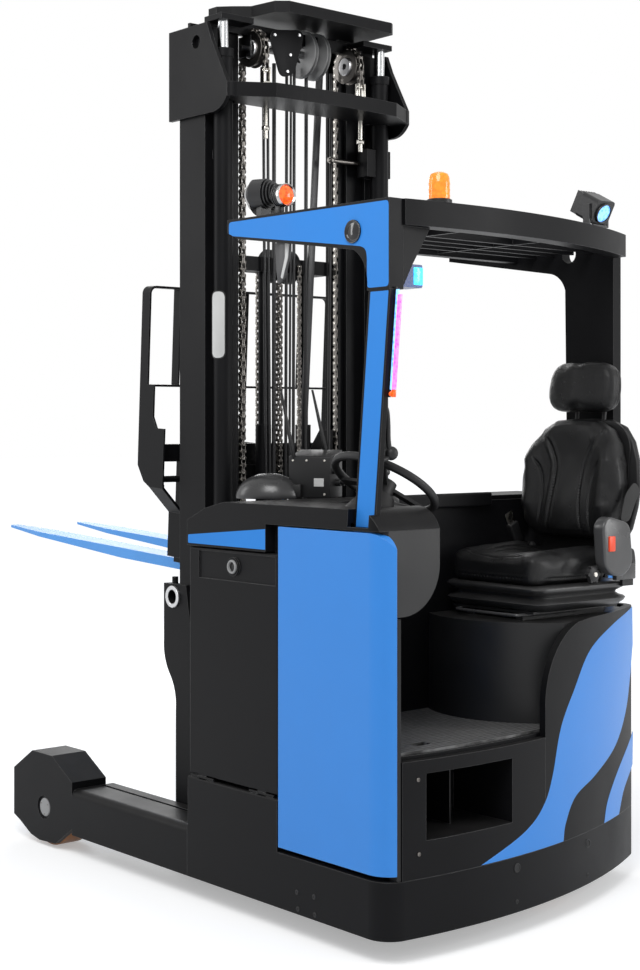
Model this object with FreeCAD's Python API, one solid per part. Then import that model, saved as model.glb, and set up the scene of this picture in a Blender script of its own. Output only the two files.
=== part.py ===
"""Reach truck with a three-stage mast: one STEP file for each named piece.

Frame: +X is the left side of the truck, +Y the back, +Z up.  The forks point
towards -Y.  The origin is on the floor, at the middle of the truck's outline.
"""
import FreeCAD, Part
import math
import os

V = FreeCAD.Vector

# ---------------------------------------------------------------- driving sizes (mm)
TRUCK_WIDTH = 1372.0
TRUCK_LENGTH = 3000.0
CLOSED_HEIGHT = 3060.0

BASE_BOTTOM = 75.0
BASE_TOP = 245.0
BODY_FRONT = 508.0
DOOR_REAR = 978.0
PANEL_GAP = 6.0
REAR_CURVE_RADIUS = 1.567 * TRUCK_WIDTH
REAR_CURVE_CENTRE_X = 300.0
CORNER_RADIUS = 80.0

LEG_WIDTH = 177.0
LEG_WALL = 22.0
WHEEL_RADIUS = 142.5
WHEEL_WIDTH = 100.0
LOAD_AXLE_Y = -393.0

DRIVE_X = -170.0
DRIVE_Y = TRUCK_LENGTH / 2 - 350
DRIVE_WHEEL_RADIUS = 172.0
DRIVE_WHEEL_WIDTH = 140.0

FLOOR_TOP = 608.0
BAND_BOTTOM = 1165.0
PANEL_BOTTOM = 261.0
PANEL_TOP = 1247.0
HOOD_TOP = 1313.0
CAB_FRONT = 920.0
SHELL_TOP = 935.0
SHELL_WALL = 25.0

ROOF_TOP = 2215.0
ROOF_BEAM = 76.0

MAST_HALF_WIDTH = 418.0
MAST_FRONT = 94.0
MAST_DEPTH = 151.0
MAST_FOOT = 60.0

FORK_LENGTH = 1350.0
FORK_WIDTH = 110.0
FORK_THICKNESS = 40.0
FORK_HALF_SPREAD = 170.0
FORK_TILT = 2.9
FORK_TOP_HEIGHT = 1045.0

MOVING_GAP = 6.0
RUNNING_GAP = 0.05
SEAT_GAP = 0.3

HALF = TRUCK_WIDTH / 2
REAR = TRUCK_LENGTH / 2


# ---------------------------------------------------------------- shape helpers
def block(x0, x1, y0, y1, z0, z1):
    low = V(min(x0, x1), min(y0, y1), min(z0, z1))
    return Part.makeBox(abs(x1 - x0), abs(y1 - y0), abs(z1 - z0), low)


def rod(axis, centre, radius, length):
    direction = {"x": V(1, 0, 0), "y": V(0, 1, 0), "z": V(0, 0, 1)}[axis]
    start = V(*centre) - direction * (length / 2)
    return Part.makeCylinder(radius, length, start, direction)


def ring(axis, centre, outer, inner, length):
    return rod(axis, centre, outer, length).cut(rod(axis, centre, inner, length * 1.2))


def between(start, end, radius):
    along = V(*end) - V(*start)
    return Part.makeCylinder(radius, along.Length, V(*start), along)


def prism(plane, points, low, high):
    """Closed outline drawn in a plane ("xy", "yz" or "xz") and pushed along the third axis."""
    place = {
        "xy": lambda a, b: V(a, b, low),
        "yz": lambda a, b: V(low, a, b),
        "xz": lambda a, b: V(a, low, b),
    }[plane]
    push = {"xy": V(0, 0, high - low), "yz": V(high - low, 0, 0), "xz": V(0, high - low, 0)}[plane]
    corners = [place(a, b) for a, b in points]
    wire = Part.makePolygon(corners + [corners[0]])
    return Part.Face(wire).extrude(push)


def path_prism(plane, edges, low, high):
    """Like prism, for an outline of straight runs (two points) and arcs (three points)."""
    place = {
        "xy": lambda p: V(p[0], p[1], low),
        "yz": lambda p: V(low, p[0], p[1]),
        "xz": lambda p: V(p[0], low, p[1]),
    }[plane]
    push = {"xy": V(0, 0, high - low), "yz": V(high - low, 0, 0), "xz": V(0, high - low, 0)}[plane]
    made = []
    for points in edges:
        spots = [place(p) for p in points]
        if len(spots) == 2:
            made.append(Part.makeLine(*spots))
        else:
            made.append(Part.Arc(*spots).toShape())
    return Part.Face(Part.Wire(made)).extrude(push)


def rounded(shape, radius, chosen):
    edges = [edge for edge in shape.Edges if chosen(edge)]
    return shape.makeFillet(radius, edges) if edges else shape


def upright_edge(edge):
    ends = [vertex.Point for vertex in edge.Vertexes]
    if len(ends) != 2:
        return False
    return abs(ends[0].x - ends[1].x) < 0.01 and abs(ends[0].y - ends[1].y) < 0.01


def along_axis(axis):
    def test(edge):
        ends = [vertex.Point for vertex in edge.Vertexes]
        if len(ends) != 2:
            return False
        step = ends[1] - ends[0]
        others = [abs(getattr(step, name)) for name in "xyz" if name != axis]
        return max(others) < 0.01 and abs(getattr(step, axis)) > 0.01
    return test


def mirrored(shape):
    return shape.mirror(V(0, 0, 0), V(1, 0, 0))


def both_sides(shape):
    return [shape, mirrored(shape)]


def joined(shapes):
    result = shapes[0]
    for shape in shapes[1:]:
        result = result.fuse(shape)
    return result.removeSplitter()


def without(shape, tools):
    for tool in tools:
        shape = shape.cut(tool)
    return shape


def turned(shape, centre, axis, degrees):
    copy = shape.copy()
    copy.rotate(V(*centre), V(*axis), degrees)
    return copy


nodes = {}


def keep(name, *shapes):
    """Store a node: one solid, or several that stand apart."""
    solids = [solid for shape in shapes for solid in shape.Solids]
    nodes[name] = solids[0] if len(solids) == 1 else Part.makeCompound(solids)


# ---------------------------------------------------------------- the outline of the body
def rear_face_y(x, inset=0.0):
    """Y of the curved back of the body at a given X."""
    radius = REAR_CURVE_RADIUS - inset
    return REAR - REAR_CURVE_RADIUS + math.sqrt(radius ** 2 - (x - REAR_CURVE_CENTRE_X) ** 2)


def outline(front, inset, low, high, corner=CORNER_RADIUS):
    """Solid inside the body's plan outline, from a front plane to the curved back."""
    side = HALF - inset
    left_end = (side, rear_face_y(side, inset))
    right_end = (-side, rear_face_y(-side, inset))
    middle = (REAR_CURVE_CENTRE_X, rear_face_y(REAR_CURVE_CENTRE_X, inset))
    solid = path_prism("xy", [
        ((-side, front), (side, front)),
        ((side, front), left_end),
        (left_end, middle, right_end),
        (right_end, (-side, front)),
    ], low, high)
    radius = corner - inset
    if radius > 1:
        back = [edge for edge in solid.Edges if upright_edge(edge) and edge.Vertexes[0].Y > front + 1]
        solid = solid.makeFillet(radius, back)
    return solid


# ---------------------------------------------------------------- base and legs
BASE_WALL = 30.0
WELL_HALF = HALF - 86
WELL_FRONT = BODY_FRONT + 25
WELL_REAR = 905.0
WELL_FLOOR = 20.0
DRIVE_ARCH_RADIUS = 235.0
SKIRT_DROP = 12.0
SKIRT_FRONT = 1320.0
TOP_PLATE = 20.0

LEG_INNER = HALF - LEG_WIDTH
LEG_FRONT = -200.0
LEG_TOP = BASE_TOP - 5

AXLE_RADIUS = 25.0
HOUSING_TOP = 2 * WHEEL_RADIUS + 56
HOUSING_BOTTOM = 16.0
HOUSING_INNER = LEG_INNER + 31
HOUSING_PLATE = 22.0


def make_base():
    base = outline(BODY_FRONT, 0, BASE_BOTTOM, BASE_TOP)
    skirt = outline(SKIRT_FRONT, 0, BASE_BOTTOM - SKIRT_DROP, BASE_BOTTOM)
    skirt = skirt.cut(outline(SKIRT_FRONT - 1, BASE_WALL, 0, BASE_TOP))
    base = base.fuse(skirt)
    well = block(-WELL_HALF, WELL_HALF, WELL_FRONT, WELL_REAR, BASE_BOTTOM + WELL_FLOOR, BASE_TOP + 1)
    underside_top = BASE_TOP - TOP_PLATE
    rear_room = outline(WELL_REAR + BASE_WALL, BASE_WALL, BASE_BOTTOM - 1, underside_top)
    rib = BASE_WALL / 2
    left_rib = block(DRIVE_X + 280 - rib, DRIVE_X + 280 + rib, WELL_REAR, REAR, BASE_BOTTOM - 1, BASE_TOP)
    rear_room = rear_room.cut(left_rib)
    arch = rod("z", (DRIVE_X, DRIVE_Y, BASE_TOP), DRIVE_ARCH_RADIUS, 2 * BASE_TOP)
    return without(base, [well, rear_room, arch]).removeSplitter()


def make_leg():
    leg = block(LEG_INNER, HALF, LEG_FRONT, BODY_FRONT, BASE_BOTTOM, LEG_TOP)
    top_outer = [e for e in leg.Edges if along_axis("y")(e) and e.Vertexes[0].X > HALF - 1
                 and e.Vertexes[0].Z > LEG_TOP - 1]
    leg = leg.makeFillet(28, top_outer)
    channel = block(LEG_INNER - 1, HALF - 60, LEG_FRONT + 14, BODY_FRONT + 1,
                    BASE_BOTTOM + LEG_WALL, LEG_TOP - LEG_WALL)
    groove = block(LEG_INNER + 42, LEG_INNER + 56, LEG_FRONT + 4, BODY_FRONT + 1, LEG_TOP - 8, LEG_TOP + 1)
    return without(leg, [channel, groove])


HOUSING_OUTLINE = [
    (-WHEEL_RADIUS - 74.5, HOUSING_TOP - 83), (-84.0, HOUSING_TOP), (53.0, HOUSING_TOP),
    (WHEEL_RADIUS + 50.5, HOUSING_TOP - 76), (WHEEL_RADIUS + 50.5, 97.0),
    (78.0, 22.0), (-32.0, HOUSING_BOTTOM), (-93.0, 27.0), (-WHEEL_RADIUS - 29.5, 65.0),
    (-WHEEL_RADIUS - 74.5, 82.0),
]


def make_housing():
    points = [(LOAD_AXLE_Y + y, z) for y, z in HOUSING_OUTLINE]
    body = prism("yz", points, HOUSING_INNER, HALF)
    slot_in = HALF - HOUSING_PLATE - WHEEL_WIDTH - 2 * MOVING_GAP
    slot_out = HALF - HOUSING_PLATE
    room = WHEEL_RADIUS + 9
    slot = rod("x", ((slot_in + slot_out) / 2, LOAD_AXLE_Y, WHEEL_RADIUS), room, slot_out - slot_in)
    below = block(slot_in, slot_out, LOAD_AXLE_Y - room, LOAD_AXLE_Y + room, 0, WHEEL_RADIUS)
    pin_hole = rod("x", (HALF, LOAD_AXLE_Y, WHEEL_RADIUS), AXLE_RADIUS, 4 * LEG_WIDTH)
    recess = rod("x", (HALF, LOAD_AXLE_Y, WHEEL_RADIUS), 44, 12)
    return without(body, [slot, below, pin_hole, recess])


def make_load_wheels():
    middle = HALF - HOUSING_PLATE - MOVING_GAP - WHEEL_WIDTH / 2
    centre = (middle, LOAD_AXLE_Y, WHEEL_RADIUS)
    tyre = ring("x", centre, WHEEL_RADIUS, WHEEL_RADIUS - 26, WHEEL_WIDTH)
    rim_edges = [e for e in tyre.Edges if len(e.Vertexes) == 1 and abs(e.Curve.Radius - WHEEL_RADIUS) < 0.1]
    tyre = tyre.makeFillet(8, rim_edges)
    hub = ring("x", centre, WHEEL_RADIUS - 26, AXLE_RADIUS + RUNNING_GAP, WHEEL_WIDTH - 8)
    for side in (-1, 1):
        dish_centre = (middle + side * WHEEL_WIDTH / 2, LOAD_AXLE_Y, WHEEL_RADIUS)
        hub = hub.cut(ring("x", dish_centre, WHEEL_RADIUS - 42, AXLE_RADIUS + 20, 30))
    pin_length = HALF - 4 - HOUSING_INNER
    pin = rod("x", (HOUSING_INNER + pin_length / 2, LOAD_AXLE_Y, WHEEL_RADIUS), AXLE_RADIUS, pin_length)
    return tyre, hub, pin


# ---------------------------------------------------------------- drive unit under the seat
TURRET_RADIUS = 150.0


def make_drive():
    centre = (DRIVE_X, DRIVE_Y, DRIVE_WHEEL_RADIUS)
    tyre = ring("x", centre, DRIVE_WHEEL_RADIUS, DRIVE_WHEEL_RADIUS - 32, DRIVE_WHEEL_WIDTH)
    hub = ring("x", centre, DRIVE_WHEEL_RADIUS - 32, 30 + RUNNING_GAP, DRIVE_WHEEL_WIDTH - 16)
    gearbox_in = DRIVE_X + DRIVE_WHEEL_WIDTH / 2 + MOVING_GAP
    gearbox = block(gearbox_in, gearbox_in + 70, DRIVE_Y - 75, DRIVE_Y + 75, 105, 400)
    gearbox = gearbox.fuse(rod("x", (gearbox_in + 35, DRIVE_Y, DRIVE_WHEEL_RADIUS), 95, 70))
    axle_length = DRIVE_WHEEL_WIDTH + MOVING_GAP + 70
    axle_middle = gearbox_in + 70 - axle_length / 2
    axle = rod("x", (axle_middle, DRIVE_Y, DRIVE_WHEEL_RADIUS), 30, axle_length)
    turntable = rod("z", (DRIVE_X, DRIVE_Y, 385), TURRET_RADIUS, 50)
    unit = joined([gearbox, axle, turntable])
    ring_mount = ring("z", (DRIVE_X, DRIVE_Y, 437.3), TURRET_RADIUS + 60, TURRET_RADIUS - 50, 54)
    motor = rod("z", (DRIVE_X, DRIVE_Y, 480), TURRET_RADIUS - 50 - RUNNING_GAP, 140)
    unit = joined([unit, motor])
    bracket = block(DRIVE_X - TURRET_RADIUS - 60, DRIVE_X - TURRET_RADIUS - 30,
                    DRIVE_Y - 150, DRIVE_Y + 150, BASE_TOP, 464.3)
    bracket_left = bracket.mirror(V(DRIVE_X, 0, 0), V(1, 0, 0))
    slewing = joined([ring_mount, bracket, bracket_left])
    slewing = slewing.cut(rod("z", (DRIVE_X, DRIVE_Y, 385), TURRET_RADIUS + MOVING_GAP, 50.6))
    slewing = slewing.cut(rod("z", (DRIVE_X, DRIVE_Y, 480), TURRET_RADIUS - 50, 300))
    return tyre, hub, unit, slewing


# ---------------------------------------------------------------- body panels
DOOR_THICK = 28.0
COVER_TOP = 406.0
DOOR_BOTTOM = 417.0
HINGE_Z = (COVER_TOP + DOOR_BOTTOM) / 2
HINGE_X = HALF - 4
HINGE_RADIUS = 4.0
HINGE_YS = (BODY_FRONT + 80, DOOR_REAR - 80)
KNUCKLE_LENGTH = 40.0
LATCH_Y = 751.0
LATCH_Z = 1108.0
CAB_WALL = 16.0
FLOOR_THICK = 20.0
STEP_LEFT = HALF - 60
STEP_RIGHT = 20.0
POCKET_LEFT = STEP_LEFT - 86
POCKET_RIGHT = 186.0
POCKET_LOW = 353.0
POCKET_HIGH = 548.0
POCKET_DEPTH = 230.0
PEDESTAL_RADIUS = 350.0
PEDESTAL_X = -HALF + 386
PEDESTAL_Y = REAR - 375
PEDESTAL_TOP = 928.0
CONSOLE_INNER = HALF - 252
BATTERY_ROOM = 40.0
BATTERY_TOP = 1010.0


def make_battery():
    half = WELL_HALF - BATTERY_ROOM
    front = WELL_FRONT + BATTERY_ROOM / 2
    rear = WELL_REAR - BATTERY_ROOM / 2
    battery = block(-half, half, front, rear, BASE_BOTTOM + WELL_FLOOR, BATTERY_TOP)
    lid_gap = block(-half - 1, half + 1, front - 1, rear + 1, BATTERY_TOP - 30, BATTERY_TOP - 26)
    lid_core = block(-half + 6, half - 6, front + 6, rear - 6, BATTERY_TOP - 31, BATTERY_TOP - 25)
    return battery.cut(lid_gap.cut(lid_core))


def make_door():
    door = block(HALF - DOOR_THICK - 4, HALF - 4, BODY_FRONT + 8, DOOR_REAR, DOOR_BOTTOM, BAND_BOTTOM - 5)
    door = rounded(door, 6, lambda e: e.Vertexes[0].X > HALF - 5 and e.Vertexes[-1].X > HALF - 5)
    recess = block(HALF - 9, HALF, BODY_FRONT + 60, DOOR_REAR - 12, 1062, BAND_BOTTOM - 14)
    latch_seat = rod("x", (HALF - 4, LATCH_Y, LATCH_Z), 30, 24)
    door = without(door, [recess, latch_seat])
    knuckles = []
    for y in HINGE_YS:
        barrel = rod("y", (HINGE_X, y, HINGE_Z), HINGE_RADIUS, KNUCKLE_LENGTH)
        leaf = block(HINGE_X - 6, HINGE_X, y - KNUCKLE_LENGTH / 2, y + KNUCKLE_LENGTH / 2, HINGE_Z, DOOR_BOTTOM + 8)
        knuckles.append(barrel.fuse(leaf))
    return joined([door] + knuckles).cut(rod("y", (HINGE_X, 0, HINGE_Z), 2 + RUNNING_GAP, 4 * REAR))


def make_hinge_pins():
    """Pins and end knuckles of the battery door, standing on the lower cover."""
    pieces = []
    for y in HINGE_YS:
        for side in (-1, 1):
            middle = y + side * KNUCKLE_LENGTH * 1.01
            knuckle = rod("y", (HINGE_X, middle, HINGE_Z), HINGE_RADIUS, KNUCKLE_LENGTH)
            half = KNUCKLE_LENGTH / 2
            leaf = block(HINGE_X - 6, HINGE_X, middle - half, middle + half, COVER_TOP - 8, HINGE_Z)
            pieces.append(knuckle.fuse(leaf))
        pieces.append(rod("y", (HINGE_X, y, HINGE_Z), 2, KNUCKLE_LENGTH * 2.2))
    return joined(pieces)


def make_latch():
    centre = (HALF - 9, LATCH_Y, LATCH_Z)
    cup = rod("x", centre, 30, 14)
    return cup.cut(rod("x", (HALF - 2, LATCH_Y, LATCH_Z), 17, 16))


def make_lower_cover():
    cover = block(HALF - DOOR_THICK, HALF, BODY_FRONT + 4, DOOR_REAR, BASE_TOP, COVER_TOP)
    return rounded(cover, 8, lambda e: e.Vertexes[0].X > HALF - 1 and e.Vertexes[-1].X > HALF - 1
                   and min(v.Z for v in e.Vertexes) > COVER_TOP - 1)


def make_side_panel(left):
    """Blue side panel that wraps round the back corner."""
    shell = outline(DOOR_REAR + PANEL_GAP, 0, PANEL_BOTTOM, PANEL_TOP)
    shell = shell.cut(outline(DOOR_REAR, DOOR_THICK, 0, CLOSED_HEIGHT))
    if left:
        region = block(STEP_LEFT + 14, HALF + 1, DOOR_REAR, REAR + 1, 0, CLOSED_HEIGHT)
        panel = shell.common(region)
        back = rear_face_y(HALF - CORNER_RADIUS)
        r = 80.0
        notch = block(-HALF * 2, HALF * 2, back - r, back + r, PANEL_TOP - r, PANEL_TOP + r)
        notch = notch.cut(rod("x", (0, back - r, PANEL_TOP - r), r, HALF * 6))
        notch = notch.common(block(-HALF * 2, HALF * 2, back - r, back + r, PANEL_TOP - r, PANEL_TOP + r))
        return panel.cut(notch)
    region = block(-HALF - 1, -HALF + DOOR_THICK + 1, DOOR_REAR, rear_face_y(-HALF) - CORNER_RADIUS - 12,
                   0, CLOSED_HEIGHT)
    return shell.common(region)


def make_post_strip():
    """Upright between the blue panel and the step opening, under the console."""
    shell = outline(DOOR_REAR, 4, BASE_TOP, 1000)
    shell = shell.cut(outline(DOOR_REAR - 1, DOOR_THICK + 2, 0, CLOSED_HEIGHT))
    return shell.common(block(STEP_LEFT, STEP_LEFT + 12, DOOR_REAR, REAR, 0, CLOSED_HEIGHT))


def rear_shell():
    shell = outline(CAB_FRONT, 0, BASE_TOP, CLOSED_HEIGHT)
    return shell.cut(outline(CAB_FRONT - 1, SHELL_WALL, 0, CLOSED_HEIGHT + 1))


def make_step_panel():
    region = block(STEP_RIGHT, STEP_LEFT - 2, REAR - 300, REAR + 1, BASE_TOP, FLOOR_TOP - FLOOR_THICK)
    panel = rear_shell().common(region)
    return panel.cut(block(POCKET_RIGHT, POCKET_LEFT, 0, REAR + 1, POCKET_LOW, POCKET_HIGH))


def make_pocket():
    wall = 6.0
    back = rear_face_y((POCKET_LEFT + POCKET_RIGHT) / 2, SHELL_WALL) - POCKET_DEPTH
    outer = block(POCKET_RIGHT - wall, POCKET_LEFT + wall, back - wall, REAR, POCKET_LOW - wall,
                  POCKET_HIGH + wall)
    outer = outer.common(outline(CAB_FRONT, SHELL_WALL, 0, CLOSED_HEIGHT))
    inner = block(POCKET_RIGHT, POCKET_LEFT, back, REAR, POCKET_LOW, POCKET_HIGH)
    rib_x = POCKET_RIGHT + 0.42 * (POCKET_LEFT - POCKET_RIGHT)
    rib = block(rib_x, rib_x + wall, back, back + 0.6 * POCKET_DEPTH, POCKET_LOW, POCKET_HIGH)
    return joined([outer.cut(inner), rib])


def make_rear_body():
    """Black shell round the back right corner, with its swept left edge."""
    shell = rear_shell()
    low = BASE_TOP
    edge = path_prism("xz", [
        ((-HALF - 1, low), (STEP_RIGHT - 1, low)),
        ((STEP_RIGHT - 1, low), (STEP_RIGHT - 1, FLOOR_TOP + 90)),
        ((STEP_RIGHT - 1, FLOOR_TOP + 90), (-62.0, FLOOR_TOP + 262), (-178.0, SHELL_TOP - 6)),
        ((-178.0, SHELL_TOP - 6), (-260.0, SHELL_TOP)),
        ((-260.0, SHELL_TOP), (-HALF - 1, SHELL_TOP)),
        ((-HALF - 1, SHELL_TOP), (-HALF - 1, low)),
    ], CAB_FRONT, REAR + 1)
    front_limit = rear_face_y(-HALF) - CORNER_RADIUS - 10
    side = block(-HALF - 1, 0, CAB_FRONT, front_limit, 0, CLOSED_HEIGHT)
    return shell.common(edge).cut(side)


def make_floor():
    floor = outline(CAB_FRONT + CAB_WALL, SHELL_WALL + 1, FLOOR_TOP - FLOOR_THICK - 8, FLOOR_TOP - 8)
    floor = floor.common(block(-HALF + DOOR_THICK + 2, HALF, 0, REAR, 0, CLOSED_HEIGHT))
    opening = rod("z", (DRIVE_X, DRIVE_Y, FLOOR_TOP), TURRET_RADIUS + 70, 4 * FLOOR_THICK)
    mat = outline(CAB_FRONT + CAB_WALL + 1, SHELL_WALL + 12, FLOOR_TOP - 8, FLOOR_TOP)
    mat = mat.common(block(PEDESTAL_X, HALF, 0, REAR, 0, CLOSED_HEIGHT))
    mat = mat.cut(rod("z", (PEDESTAL_X, PEDESTAL_Y, FLOOR_TOP), PEDESTAL_RADIUS + 1, 4 * FLOOR_THICK))
    side_room = block(STEP_LEFT, HALF, 0, REAR, 0, CLOSED_HEIGHT)
    hole = rounded(block(430, 490, 1360, 1395, FLOOR_TOP - 60, FLOOR_TOP + 1), 8, upright_edge)
    mat = without(mat, [side_room, hole])
    return floor.cut(opening).cut(side_room), mat


def make_pedestal():
    outer = rod("z", (PEDESTAL_X, PEDESTAL_Y, (FLOOR_TOP - 8 + PEDESTAL_TOP) / 2), PEDESTAL_RADIUS,
                PEDESTAL_TOP - FLOOR_TOP + 8)
    wall = 8.0
    inner = rod("z", (PEDESTAL_X, PEDESTAL_Y, FLOOR_TOP + (PEDESTAL_TOP - FLOOR_TOP - wall) / 2 - 10),
                PEDESTAL_RADIUS - wall, PEDESTAL_TOP - FLOOR_TOP - wall + 20)
    front = CAB_FRONT + CAB_WALL + 1
    right = -HALF + DOOR_THICK + CAB_WALL + 4
    room = outline(front, SHELL_WALL + 2, 0, CLOSED_HEIGHT)
    room = room.common(block(right, HALF, 0, REAR, 0, CLOSED_HEIGHT))
    small = outline(front + wall, SHELL_WALL + 2 + wall, 0, CLOSED_HEIGHT)
    small = small.common(block(right + wall, HALF, 0, REAR, 0, CLOSED_HEIGHT))
    shell = outer.common(room).cut(inner.common(small))
    lip = rounded(shell, 12, lambda e: len(e.Vertexes) >= 1 and min(v.Z for v in e.Vertexes) > PEDESTAL_TOP - 1
                  and e.Length > 900 and hasattr(e.Curve, "Radius") and e.Curve.Radius > PEDESTAL_RADIUS - 1
                  and e.Curve.Radius < PEDESTAL_RADIUS + 1)
    return lip


HOOD_SKIN = 14.0
HOOD_PROFILE = [
    (BODY_FRONT, BAND_BOTTOM), (BODY_FRONT, PANEL_TOP), (BODY_FRONT + 99, HOOD_TOP - 23),
    (BODY_FRONT + 201, HOOD_TOP),
]


def make_hood():
    profile = HOOD_PROFILE + [(CAB_FRONT, HOOD_TOP), (CAB_FRONT, BAND_BOTTOM)]
    body = prism("yz", profile, -HALF, HALF)
    inner = [(y + (HOOD_SKIN if y < CAB_FRONT else -HOOD_SKIN), z - (HOOD_SKIN if z > PANEL_TOP - 1 else 1))
             for y, z in profile]
    hollow = prism("yz", inner, -HALF + HOOD_SKIN, HALF - HOOD_SKIN)
    body = body.cut(hollow)
    return rounded(body, 12, lambda e: along_axis("x")(e) and e.Vertexes[0].Z > HOOD_TOP - 30
                   and e.Vertexes[0].Y < CAB_FRONT - 50)


def make_console_cover():
    """Top of the left console, from the hood back to the rear corner."""
    rear = rear_face_y(HALF) - 30
    low = PANEL_TOP + 5
    edges = [
        ((CAB_FRONT, low), (CAB_FRONT, HOOD_TOP)),
        ((CAB_FRONT, HOOD_TOP), (rear - 120, HOOD_TOP)),
        ((rear - 120, HOOD_TOP), (rear - 30, HOOD_TOP - 18), (rear, low)),
        ((rear, low), (CAB_FRONT, low)),
    ]
    body = path_prism("yz", edges, CONSOLE_INNER, HALF)
    inside = block(CONSOLE_INNER + HOOD_SKIN, HALF - HOOD_SKIN, CAB_FRONT + HOOD_SKIN, rear - 3 * HOOD_SKIN,
                   0, HOOD_TOP - 3 * HOOD_SKIN)
    body = body.cut(inside).common(outline(CAB_FRONT, 0, 0, CLOSED_HEIGHT))
    return body


def make_console():
    """Hollow knee housing of the left console, with a round lower corner."""
    low = 1000.0
    high = PANEL_TOP + 4.7
    outer_x = HALF - DOOR_THICK - SEAT_GAP
    radius = 150.0

    def body(inset):
        left = outer_x - inset
        right = CONSOLE_INNER + inset
        r = radius - inset
        bend = r * (1 - math.sqrt(0.5))
        return path_prism("xz", [
            ((left, low + inset), (left, high - inset)),
            ((left, high - inset), (right, high - inset)),
            ((right, high - inset), (right, low + inset + r)),
            ((right, low + inset + r), (right + bend, low + inset + bend), (right + r, low + inset)),
            ((right + r, low + inset), (left, low + inset)),
        ], CAB_FRONT + CAB_WALL + 1 + inset, rear_face_y(HALF) - 30 - inset)
    inside = outline(CAB_FRONT, DOOR_THICK + SEAT_GAP, 0, CLOSED_HEIGHT, CORNER_RADIUS)
    door_room = block(HALF - DOOR_THICK - 4 - MOVING_GAP, HALF, 0, DOOR_REAR + MOVING_GAP, 0, CLOSED_HEIGHT)
    return body(0).common(inside).cut(body(CAB_WALL)).cut(door_room)


def make_front_wall():
    wall = block(-HALF + DOOR_THICK + 10, HALF - DOOR_THICK - 10, CAB_FRONT + 0.5, CAB_FRONT + CAB_WALL, BASE_TOP,
                 HOOD_TOP - 15)
    wall = wall.cut(block(CONSOLE_INNER - 1, HALF, 0, REAR, PANEL_TOP + 4, CLOSED_HEIGHT))
    bar = block(-285, 200, CAB_FRONT + CAB_WALL, CAB_FRONT + CAB_WALL + 26, HOOD_TOP - 35, HOOD_TOP + 14)
    bar = rounded(bar, 8, along_axis("x"))
    return wall, bar


def make_front_panel():
    half = HALF - DOOR_THICK - 4 - MOVING_GAP
    panel = block(-half, half, BODY_FRONT, BODY_FRONT + 20, BASE_TOP, BAND_BOTTOM - 1)
    edge = block(-HALF + DOOR_THICK, -half, BODY_FRONT, BODY_FRONT + 20, DOOR_BOTTOM, BAND_BOTTOM - 1)
    panel = panel.fuse(edge)
    rib_a = block(-560, -540, BODY_FRONT - 6, BODY_FRONT, 330, 1100)
    return joined([panel, rib_a, mirrored(rib_a)])


def make_right_door():
    return block(-HALF + 4, -HALF + DOOR_THICK, BODY_FRONT, DOOR_REAR, DOOR_BOTTOM, BAND_BOTTOM - 1)


def make_right_wall():
    rear = rear_face_y(-HALF) - CORNER_RADIUS - 12
    outer_face = -HALF + DOOR_THICK + SEAT_GAP
    wall = block(outer_face, outer_face + CAB_WALL, CAB_FRONT + CAB_WALL, rear,
                 FLOOR_TOP - 8, HOOD_TOP - 38)
    rail = block(-HALF, -HALF + 62, CAB_FRONT + CAB_WALL, rear, HOOD_TOP - 38, HOOD_TOP - 4)
    upper = block(-HALF, -HALF + DOOR_THICK + SEAT_GAP, CAB_FRONT + CAB_WALL, rear, PANEL_TOP + 1, HOOD_TOP - 38)
    rail = rounded(joined([rail, upper]), 10, lambda e: along_axis("y")(e) and e.Vertexes[0].Z > HOOD_TOP - 10)
    return wall, rail


# ---------------------------------------------------------------- overhead guard
GUARD_INSET = 28.0
GUARD_FACE = HALF - GUARD_INSET
GUARD_SIDE = 56.0
POST_THICK = 18.0
POST_JOIN_Z = 1952.0
PLUG_Y = REAR - 200
GUARD_TIP_Y = 690.0
LEFT_POST_TOP = (REAR - 108, REAR - 15)
LEFT_POST_FOOT = (REAR - 196, REAR - 104)
RIGHT_POST = (REAR - 495, REAR - 275)
GUARD_RIGHT_IN = GUARD_INSET + 40
ROOF_BEAM_DEPTH = 62.0
FRONT_BEAM_Y = GUARD_TIP_Y + 46
FRONT_BEAM_DEPTH = 40.0
SLAT_PITCH = 88.0
SLAT_THICK = 12.0
SLAT_HEIGHT = 38.0
SLAT_DROP = 14.0


def guard_inset_y(x):
    return rear_face_y(x) - 14


def make_guard_left():
    low_join = ROOF_TOP - 143
    top_rear = guard_inset_y(GUARD_FACE)
    plate = path_prism("yz", [
        ((GUARD_TIP_Y, ROOF_TOP - 38), (GUARD_TIP_Y, ROOF_TOP + 4)),
        ((GUARD_TIP_Y, ROOF_TOP + 4), (top_rear, ROOF_TOP)),
        ((top_rear, ROOF_TOP), (top_rear, POST_JOIN_Z)),
        ((top_rear, POST_JOIN_Z), (LEFT_POST_TOP[0] - 32, POST_JOIN_Z)),
        ((LEFT_POST_TOP[0] - 32, POST_JOIN_Z), (LEFT_POST_TOP[0] - 48, low_join - 36), (PLUG_Y, low_join + 4)),
        ((PLUG_Y, low_join + 4), (GUARD_TIP_Y + 60, ROOF_TOP - 62)),
        ((GUARD_TIP_Y + 60, ROOF_TOP - 62), (GUARD_TIP_Y, ROOF_TOP - 38)),
    ], GUARD_FACE - GUARD_SIDE, GUARD_FACE)
    return plate.cut(rod("x", (GUARD_FACE, PLUG_Y, ROOF_TOP - 86), 33, 12))


def make_post_left(outer=GUARD_FACE):
    foot = PANEL_TOP + 14
    return prism("yz", [
        (LEFT_POST_FOOT[0], foot), (LEFT_POST_FOOT[1], foot),
        (LEFT_POST_TOP[1] - 24, POST_JOIN_Z), (LEFT_POST_TOP[0] - 24, POST_JOIN_Z),
    ], GUARD_FACE - POST_THICK, outer)


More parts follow.
